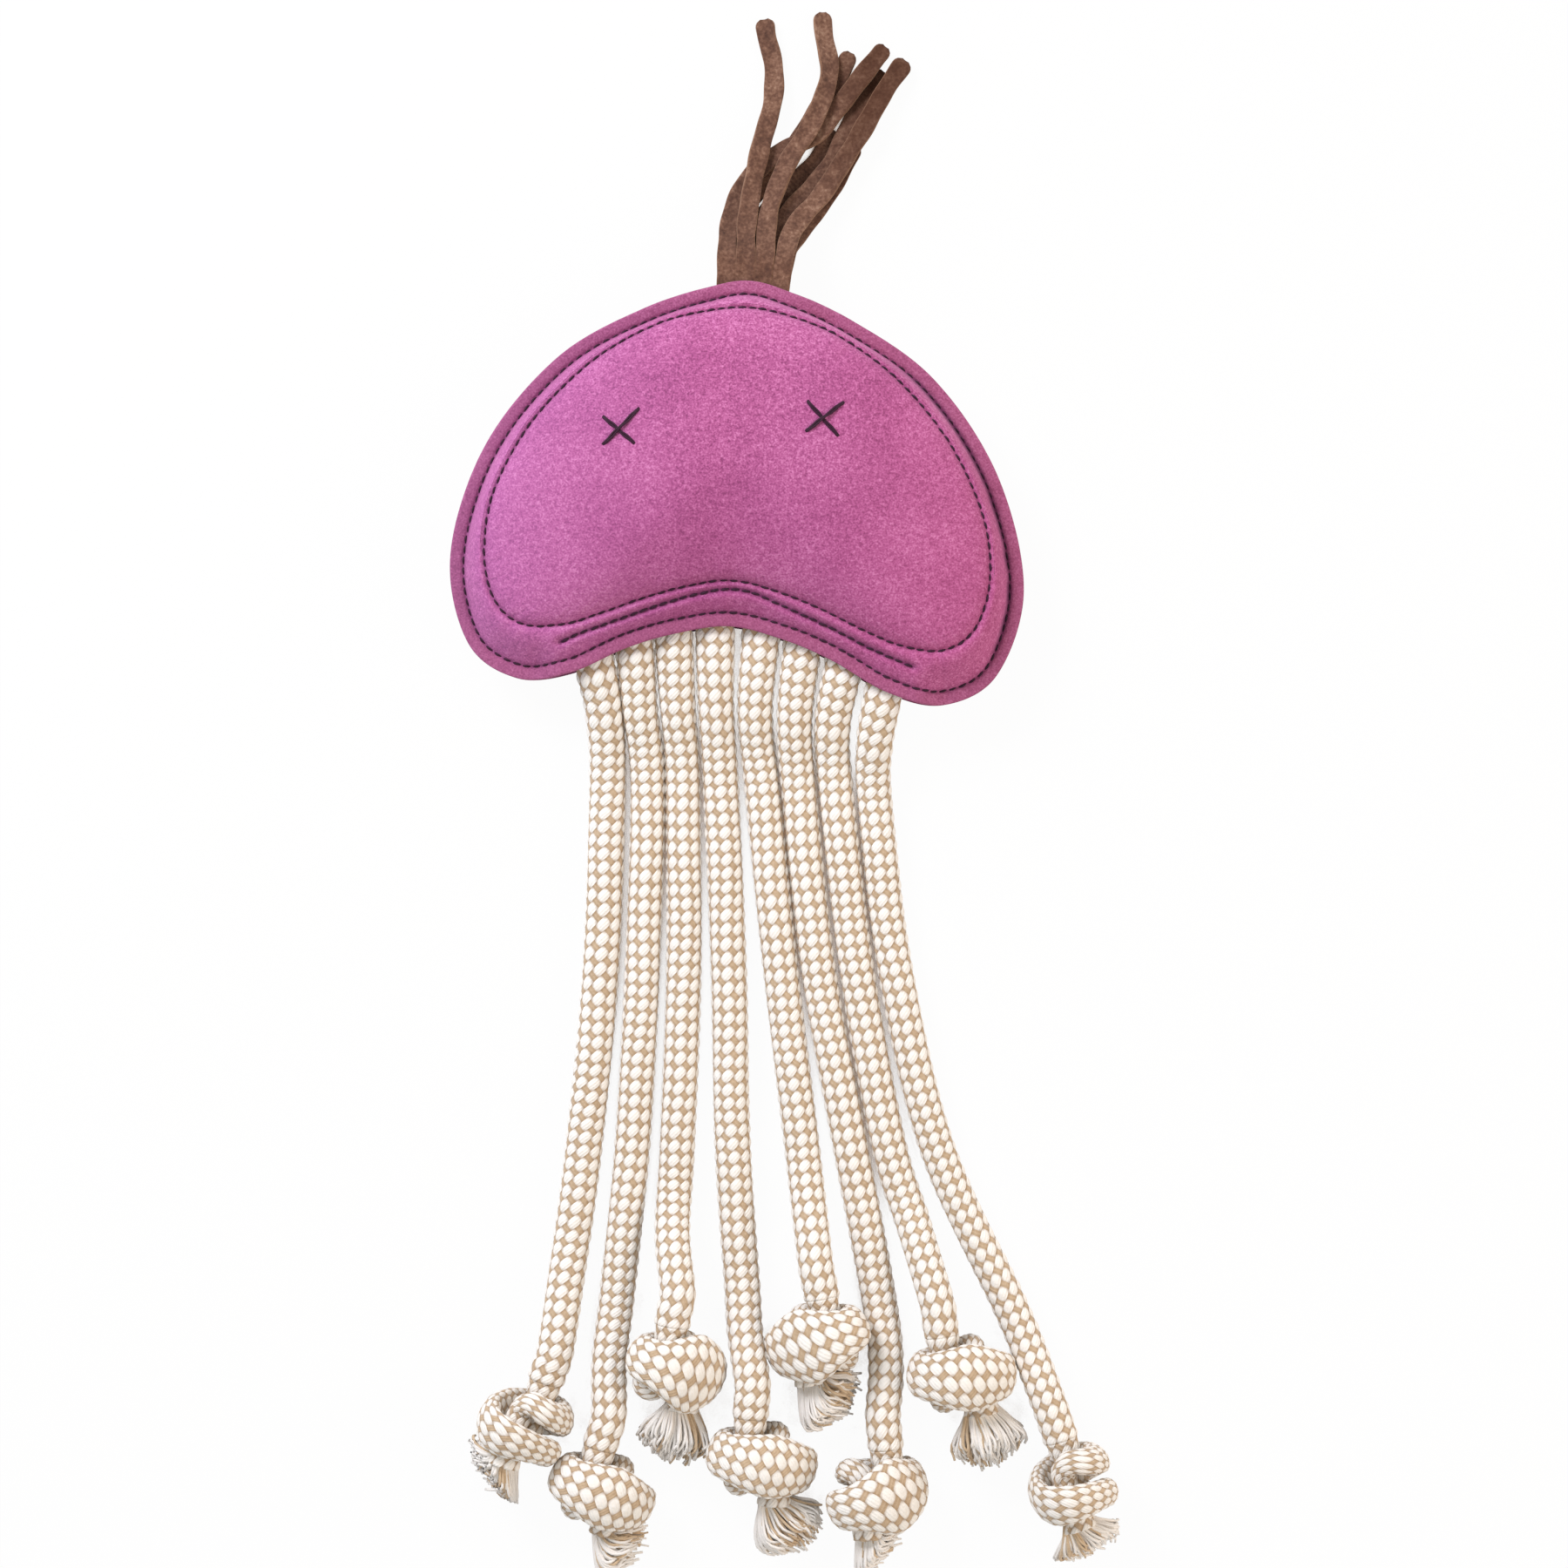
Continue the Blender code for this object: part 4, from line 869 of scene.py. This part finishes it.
    # The strands wander a little round the cord, and its pattern stretches and closes up
    drift = 0.020 * np.sin(places / 0.0190 + number) + 0.012 * np.sin(places / 0.0071 + 2.3 * number)
    braid_turn = turns[None] * finer[:, None] + drift[:, None]
    braid_at = np.concatenate([[0.0], np.cumsum(np.diff(places) * (1 + (finer[1:] - 1) * 0.4))]) + number * 0.0015
    braid_at = braid_at + 0.0007 * np.sin(places / 0.0130 + 1.7 * number)
    face = braid_height(braid_turn, braid_at[:, None])
    relief = (face - BRAID_MIDDLE) * BRAID_DEPTH / finer[:, None]
    deep_part = np.sum(directions * squash[:, None], axis=2)
    wide_part = np.sum(directions * wide[:, None], axis=2)
    deep_reach = deep_part * (half_depth[:, None] + relief) - tuck[:, None] * wide_part ** 2
    wide_reach = wide_part * (half_width[:, None] + relief)
    rings = path[:, None] + squash[:, None] * deep_reach[..., None] + wide[:, None] * wide_reach[..., None]
    rings[..., 2] = np.maximum(rings[..., 2], FLOOR_LIFT)
    for node, first, last in (("rope", 0, rope_rings), ("knot", rope_rings, count - 1)):
        part = rings[first:last + 1]
        rows = len(part)
        # Four corners a quad: across is the share of a turn round the cord, and up the distance along it
        strands = finer[first:last + 1]
        strands = np.maximum(strands[:-1], strands[1:])[:, None]
        left, right = ((np.arange(BRAID_SIDES) + step)[None] / BRAID_SIDES * strands for step in (0, 1))
        lower, upper = drift[first:last, None], drift[first + 1:last + 1, None]
        across = np.stack([left + lower, right + lower, right + upper, left + upper], axis=-1)
        up = braid_at[first:last + 1] / UV_LENGTH
        up = np.broadcast_to(np.column_stack([up[:-1], up[:-1], up[1:], up[1:]])[:, None], across.shape)
        corner_uv = np.stack([across, up], axis=-1).reshape(-1, 2)
        points = np.vstack([part.reshape(-1, 3), path[first][None], path[last][None]])
        fans = end_fans(rows, BRAID_SIDES)
        corner_uv = np.vstack([corner_uv, np.zeros((len(fans) * 3, 2))])
        piece = add_piece("braided_%s_%d" % (node, number), points, grid_quads(rows, BRAID_SIDES), cotton, corner_uv,
                          fans)
        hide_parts("%s_%d" % (node, number))

    # Tuft: the strands open into loose yarns, a dense brush with a few tan ones among the white
    source = np.random.default_rng(100 + number)
    root = path[-1]
    leaving = tangents[-1]
    pointing = np.array([math.sin(math.radians(heading)), -math.cos(math.radians(heading)), 0.0])
    yarn_turn = source.uniform(0, 2 * math.pi, YARNS)
    far = np.sqrt(source.uniform(0.02, 1.0, YARNS))
    spoke = carried[-1] * np.cos(yarn_turn)[:, None] + beside[-1] * np.sin(yarn_turn)[:, None]
    first = root + spoke * (half_width[-1] * 0.85 * far)[:, None] - leaving * TUFT_NECK
    out_side = unit(np.cross(pointing, (0, 0, 1)))
    out_over = np.cross(out_side, pointing)
    fan = out_side * (np.cos(yarn_turn) * far)[:, None] + out_over * (np.sin(yarn_turn) * far * 0.8)[:, None]
    length = TUFT_REACH * tuft_share * (1 - 0.34 * far ** 2) * source.uniform(0.86, 1.08, YARNS)
    drop = np.array([0.0, 0.0, TUFT_LEVEL - root[2]])
    second = root + leaving * TUFT_NECK + fan * OPENED[0]
    third = root + leaving * TUFT_NECK + pointing * length[:, None] * 0.55 + fan * OPENED[1] + drop * 0.7
    fourth = root + pointing * length[:, None] + fan * OPENED[2] + drop + source.normal(0, YARN_SCATTER, (YARNS, 3))
    t = np.linspace(0, 1, YARN_RINGS)[None, :, None]
    lines = ((1 - t) ** 3 * first[:, None] + 3 * (1 - t) ** 2 * t * second[:, None]
             + 3 * (1 - t) * t ** 2 * third[:, None] + t ** 3 * fourth[:, None])
    share = np.linspace(0, 1, YARN_RINGS)[None]
    for direction in (out_side, out_over):
        wave = np.sin(share * source.uniform(5, 13, YARNS)[:, None] + source.uniform(0, 6, YARNS)[:, None])
        lines = lines + (wave * YARN_WAVE * share)[..., None] * direction
    yarn_radius = source.uniform(*YARN_RADII, YARNS)
    lines[..., 2] = np.maximum(lines[..., 2], YARN_LIFT + yarn_radius[:, None])
    radii = yarn_radius[:, None] * (1.0 - 0.25 * share ** 3)
    points, quads, ends = tubes(lines, radii, YARN_SIDES)
    tuft = add_piece("frayed_tuft_%d" % number, points, quads, yarn_finish, None, ends)
    tan_side = source.uniform(0, 2 * math.pi)
    tan_here = TAN_SHARE + TAN_MORE * (np.cos(yarn_turn - tan_side) > TAN_SIDE)
    is_tan = (source.uniform(0, 1, YARNS) < tan_here).astype(float)
    climb = np.append(np.repeat(share, YARN_SIDES), [0.0, 1.0])
    set_attribute(tuft, "tan_share", np.repeat(is_tan, len(climb)))
    set_attribute(tuft, "from_root", np.tile(climb, YARNS))
    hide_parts("tuft_%d" % number)

# Fringe
# Two strips of brown suede, 1.5 mm thick, held in the top seam and cut into four tails each, which lie over
# each other and curl a little towards the right.
FRINGE_SUEDE = 0.0015
FRINGE_INSIDE = 0.0080
SLIT = 0.0003
SLIT_START = 0.0010
TIP_ROUNDING = 0.0024
TAIL_WIDER = 0.0004
RAGGED = 0.00010
TAIL_LIFT = 0.0003
TAIL_SPACING = 0.0007
# The tails' middles in millimetres, from the seam to the tip
FRONT_TAILS = [
    [(-6.8, 57, 15.6), (-6.6, 66, 10), (-4.3, 76.5, 5.2), (1.0, 84.3, 3.6), (7.7, 89.7, 3.4),
     (16.3, 94.6, 3.4), (22.1, 101.8, 3.4), (29.0, 112.2, 3.2), (35.5, 121.5, 2.6)],
    [(-1.3, 57, 15.9), (-1.7, 66, 12), (-0.8, 78, 7.6), (1.1, 90.6, 6.1), (3.7, 103.7, 3.6),
     (3.4, 114.5, 1.6), (1.1, 122.6, 1.2), (0.1, 127.8, 1.2)],
    [(4.2, 57, 15.9), (4.1, 66, 11.7), (5.3, 74.5, 8.6), (9.2, 86.0, 6.4), (14.2, 95.1, 5.9),
     (18.1, 105.3, 5.4), (19.4, 114.1, 3.6), (17.3, 124.0, 1.6), (16.5, 130.7, 1.2)],
    [(9.7, 57, 15.6), (11.2, 64.5, 11.2), (14.2, 70.2, 8.0), (18.9, 76.3, 6.0),
     (23.6, 84.3, 5.0), (29.9, 95.9, 4.8), (36.2, 108.8, 4.2), (41.4, 117.8, 2.4)],
]
BACK_TAILS = [
    [(-6.8, 57, 12.6), (-5.5, 66, 6.6), (-1.5, 75, 2.4), (5.0, 83.5, 1.2), (11.0, 91.5, 1.1),
     (16.0, 101, 1.1), (21.0, 109.4, 1.1), (25.6, 119.5, 1.1)],
    [(-1.1, 57, 12.8), (0.8, 65, 8.2), (4.5, 72.5, 3.8), (10.5, 79.5, 1.3), (17.0, 87.0, 1.1),
     (22.2, 96.6, 1.1)],
    [(4.4, 57, 12.9), (6.9, 64.5, 8.8), (10.4, 72.0, 5.4), (16.6, 79.4, 3.4),
     (21.7, 86.7, 2.9), (26.1, 97.0, 2.9), (31.1, 107.3, 1.3), (35.5, 114.5, 1.1)],
    [(9.9, 57, 12.6), (11.6, 62.6, 7.2), (15.4, 69.0, 2.6), (20.5, 77.0, 1.2),
     (25.0, 86.0, 1.1), (28.4, 93.0, 1.1)],
]
brown, brown_shader, where = new_finish("brown_suede", 0.95, 0.25, (0.9, 0.7, 0.6, 1))
nap = where.noise(1100.0, 3.0)
mottle = where.noise(300.0, 3.0)
patches = where.noise(45.0)
raw = where.attribute("raw_edge")
shade = ((nap - 0.5) * 1.0 + (mottle - 0.5) * 0.9 + (patches - 0.5) * 0.8 + 0.5).clamp()
colour = shade.node("ShaderNodeValToRGB", {"stops": [
    (0.0, (0.055, 0.025, 0.018, 1)), (0.4, (0.130, 0.062, 0.040, 1)), (0.65, (0.210, 0.110, 0.072, 1)),
    (1.0, (0.380, 0.240, 0.170, 1)),
]}, {"Fac": shade}, "Color")
across = where.axis("X")
right = ((across - 0.018) / 0.012).clamp()
colour = (right * 0.60).tint(colour, (0.055, 0.016, 0.005, 1))
colour = (raw * 0.45).tint(colour, (0.340, 0.190, 0.110, 1))
colour.feed(brown_shader.inputs["Base Color"])
relief = nap * 0.7 + mottle * 0.5
relief.bump(0.6, 0.0003, brown_shader)

# Round the ribbon's section: across, up, and whether the point is on the raw edge
RIBBON = np.array([
    (-0.90, 1, 0), (-0.5, 1, 0), (0, 1, 0), (0.5, 1, 0), (0.90, 1, 0), (1, 0.55, 1), (1, -0.55, 1),
    (0.90, -1, 0), (0.5, -1, 0), (0, -1, 0), (-0.5, -1, 0), (-0.90, -1, 0), (-1, -0.55, 1), (-1, 0.55, 1),
])


def add_fringe(name, node, tails, layer):
    """A strip with its tails. Each tail is a ribbon swept along its line, a little wavy at its cut edges."""
    middle_height = JOINT_HEIGHT + layer * (FRINGE_SUEDE + 0.0003) / 2
    head_top = HEAD_CENTRE_Y + HEAD_HEIGHT / 2
    pitch = FRINGE_WIDTH / len(tails)
    source = np.random.default_rng(40 + layer)
    all_points = []
    all_quads = []
    all_ends = []
    raw_edges = []
    first_point = 0
    for order, tail in enumerate(tails):
        across = FRINGE_X - FRINGE_WIDTH / 2 + (order + 0.5) * pitch
        root = [(across, head_top - inside, middle_height) for inside in (FRINGE_INSIDE, FRINGE_INSIDE / 2, SLIT_START)]
        line = smooth_line(np.vstack([root, np.array(tail, float) * MM]))
        length = lengths_along(line)[-1]
        rings = int(length / TAIL_SPACING)
        places = np.linspace(0, length, rings)
        middles = at_lengths(line, places)
        along = unit(np.gradient(middles, axis=0))
        side = unit(np.cross(along, (0, 0, 1)))
        up = np.cross(side, along)
        slit_open = ease((places - FRINGE_INSIDE + SLIT_START) / 0.003)
        half_width = pitch / 2 - SLIT / 2 * slit_open + TAIL_WIDER * ease((places - FRINGE_INSIDE / 2) / 0.003)
        to_tip = np.clip((length - places) / TIP_ROUNDING, 0.02, 1)
        half_width = half_width * (0.25 + 0.75 * np.sqrt(1 - (1 - to_tip) ** 2))
        roll = np.sin(places / source.uniform(0.011, 0.019) + source.uniform(0, 6)) * source.uniform(0.15, 0.42)
        roll = roll * ease((places - 0.020) / 0.020)
        side, up = (side * np.cos(roll)[:, None] + up * np.sin(roll)[:, None],
                    up * np.cos(roll)[:, None] - side * np.sin(roll)[:, None])
        waves = source.uniform(0, 6, 4)
        ragged = RAGGED * (np.sin(places / 0.0031 + waves[0]) + np.sin(places / 0.0017 + waves[1])) * slit_open
        curl = (0.0009 + 0.0006 * np.sin(places / 0.013 + order)) * slit_open
        ring = (middles[:, None] + side[:, None] * (RIBBON[None, :, 0] * (half_width + ragged)[:, None])[..., None]
                + up[:, None] * (RIBBON[None, :, 1] * FRINGE_SUEDE / 2
                                 + curl[:, None] * (RIBBON[None, :, 0] ** 2 - 0.4) * 0.6)[..., None])
        ring[..., 2] = np.maximum(ring[..., 2], TAIL_LIFT)
        sides = len(RIBBON)
        all_points += [ring.reshape(-1, 3), middles[:1], middles[-1:]]
        all_quads.append(grid_quads(rings, sides) + first_point)
        all_ends.append(end_fans(rings, sides) + first_point)
        raw_edges += [np.tile(RIBBON[:, 2], rings), [1.0, 1.0]]
        first_point += rings * sides + 2
    piece = add_piece(name, np.vstack(all_points), np.vstack(all_quads), brown, None, np.vstack(all_ends))
    set_attribute(piece, "raw_edge", np.concatenate(raw_edges))
    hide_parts(node)


add_fringe("front_fringe", "tassel_front", FRONT_TAILS, 1)
add_fringe("back_fringe", "tassel_back", BACK_TAILS, -1)

# Seams
# Three rows of lockstitch in plum thread, three millimetres a stitch: one near the edge, one on the shoulder,
# and a third, open row that holds the ropes. The bobbin thread shows the same stitches on the back.
STITCH = 0.0030
STITCH_RADIUS = 0.00036
STITCH_SLANT = 0.00035
STITCH_RISE = 0.00055
STITCH_SINK = 0.00030
STITCH_JITTER = 0.00006
STITCH_POINTS = 7
STITCH_SIDES = 6


def row_at(grid, insets, wanted, side):
    """Points of a panel at a wanted distance in from its edge at each station, and the way out of its face."""
    row = np.argmax(insets >= wanted[None], axis=0)
    stations = np.arange(STATIONS)
    low = insets[row - 1, stations]
    share = (wanted - low) / (insets[row, stations] - low)
    points = grid[row - 1, stations] + (grid[row, stations] - grid[row - 1, stations]) * share[:, None]
    around = np.roll(points, -3, axis=0) - np.roll(points, 3, axis=0)
    slope = grid[row + 4, stations] - grid[row - 5, stations]
    away = unit(np.cross(around, slope))
    return points, away * np.sign(away[:, 2:]) * side


def add_seam(name, node, line, away, closed, seed):
    """Separate stitches along a seam: short threads that rise from one hole and go down the next.

    They rise along the face's own direction away from the panel, which each point of the line comes with.
    """
    source = np.random.default_rng(seed)
    if closed:
        line = np.vstack([line, line[:1]])
        away = np.vstack([away, away[:1]])
    length = lengths_along(line)[-1]
    count = int(round(length / STITCH))
    starts = np.arange(count) / count * length
    share = np.linspace(0, 1, STITCH_POINTS)
    places = starts[:, None] + (0.10 + 0.80 * share[None]) * length / count
    middles = at_lengths(line, places.ravel()).reshape(count, STITCH_POINTS, 3)
    lengths = lengths_along(line)
    lift = unit(np.stack([np.interp(places, lengths, column) for column in away.T], axis=-1))
    along = unit(middles[:, -1] - middles[:, 0])
    across = np.stack([-along[:, 1], along[:, 0], np.zeros(count)], axis=-1)
    slant = (share - 0.5)[None, :, None] * across[:, None] * STITCH_SLANT
    arch = np.sin(share * math.pi) ** 0.6 * STITCH_RISE - STITCH_SINK
    jitter = source.normal(0, STITCH_JITTER, (count, 1, 3))
    lines = middles + slant + jitter + lift * arch[None, :, None]
    radii = np.full((count, STITCH_POINTS), STITCH_RADIUS) * (0.75 + 0.25 * np.sin(share * math.pi))[None]
    points, quads, ends = tubes(lines, radii, STITCH_SIDES)
    piece = add_piece(name, points, quads, thread_finish, None, ends)
    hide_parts(node)


def laid_on(surface, plan, side):
    """Points of a panel over or under a line of the plan, and the way out of its face."""
    direction = Vector((0, 0, -side))
    hits = [surface.ray_cast(Vector((x, y, side)), direction)[0] for x, y in plan]
    return np.array([tuple(hit) for hit in hits]), np.tile([0.0, 0.0, side], (len(plan), 1))


back_surface = BVHTree.FromPolygons([Vector(point) for point in back_grid.reshape(-1, 3)], surface_faces)
outer_inset = np.full(STATIONS, SEAM_MARGIN)
add_seam("outer_stitches", "outer_seam_thread", *row_at(front_grid, front_insets, outer_inset, 1), True, 1)
add_seam("inner_stitches", "inner_seam_thread", *row_at(front_grid, front_insets, inner_inset, 1), True, 2)
add_seam("rope_stitches", "rope_seam_thread", *laid_on(front_surface, rope_seam_line, 1), False, 3)
add_seam("outer_back_stitches", "outer_seam_bobbin", *row_at(back_grid, back_insets, outer_inset, -1), True, 4)
add_seam("inner_back_stitches", "inner_seam_bobbin", *row_at(back_grid, back_insets, inner_inset, -1), True, 5)
add_seam("rope_back_stitches", "rope_seam_bobbin", *laid_on(back_surface, rope_seam_line, -1), False, 6)

# Filling
# White polyester fibre pressed into the head inside the inner seam. It is hidden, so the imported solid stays
# and takes a fibre finish.
filling, filling_shader, where = new_finish("fibre_filling", 1.0)
strands = where.noise(400.0, 4.0)
strands.tint((0.70, 0.70, 0.69, 1), (0.92, 0.92, 0.91, 1)).feed(filling_shader.inputs["Base Color"])
strands.bump(0.8, 0.001, filling_shader)
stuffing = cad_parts["stuffing"]
stuffing.data.materials.clear()
stuffing.data.materials.append(filling)
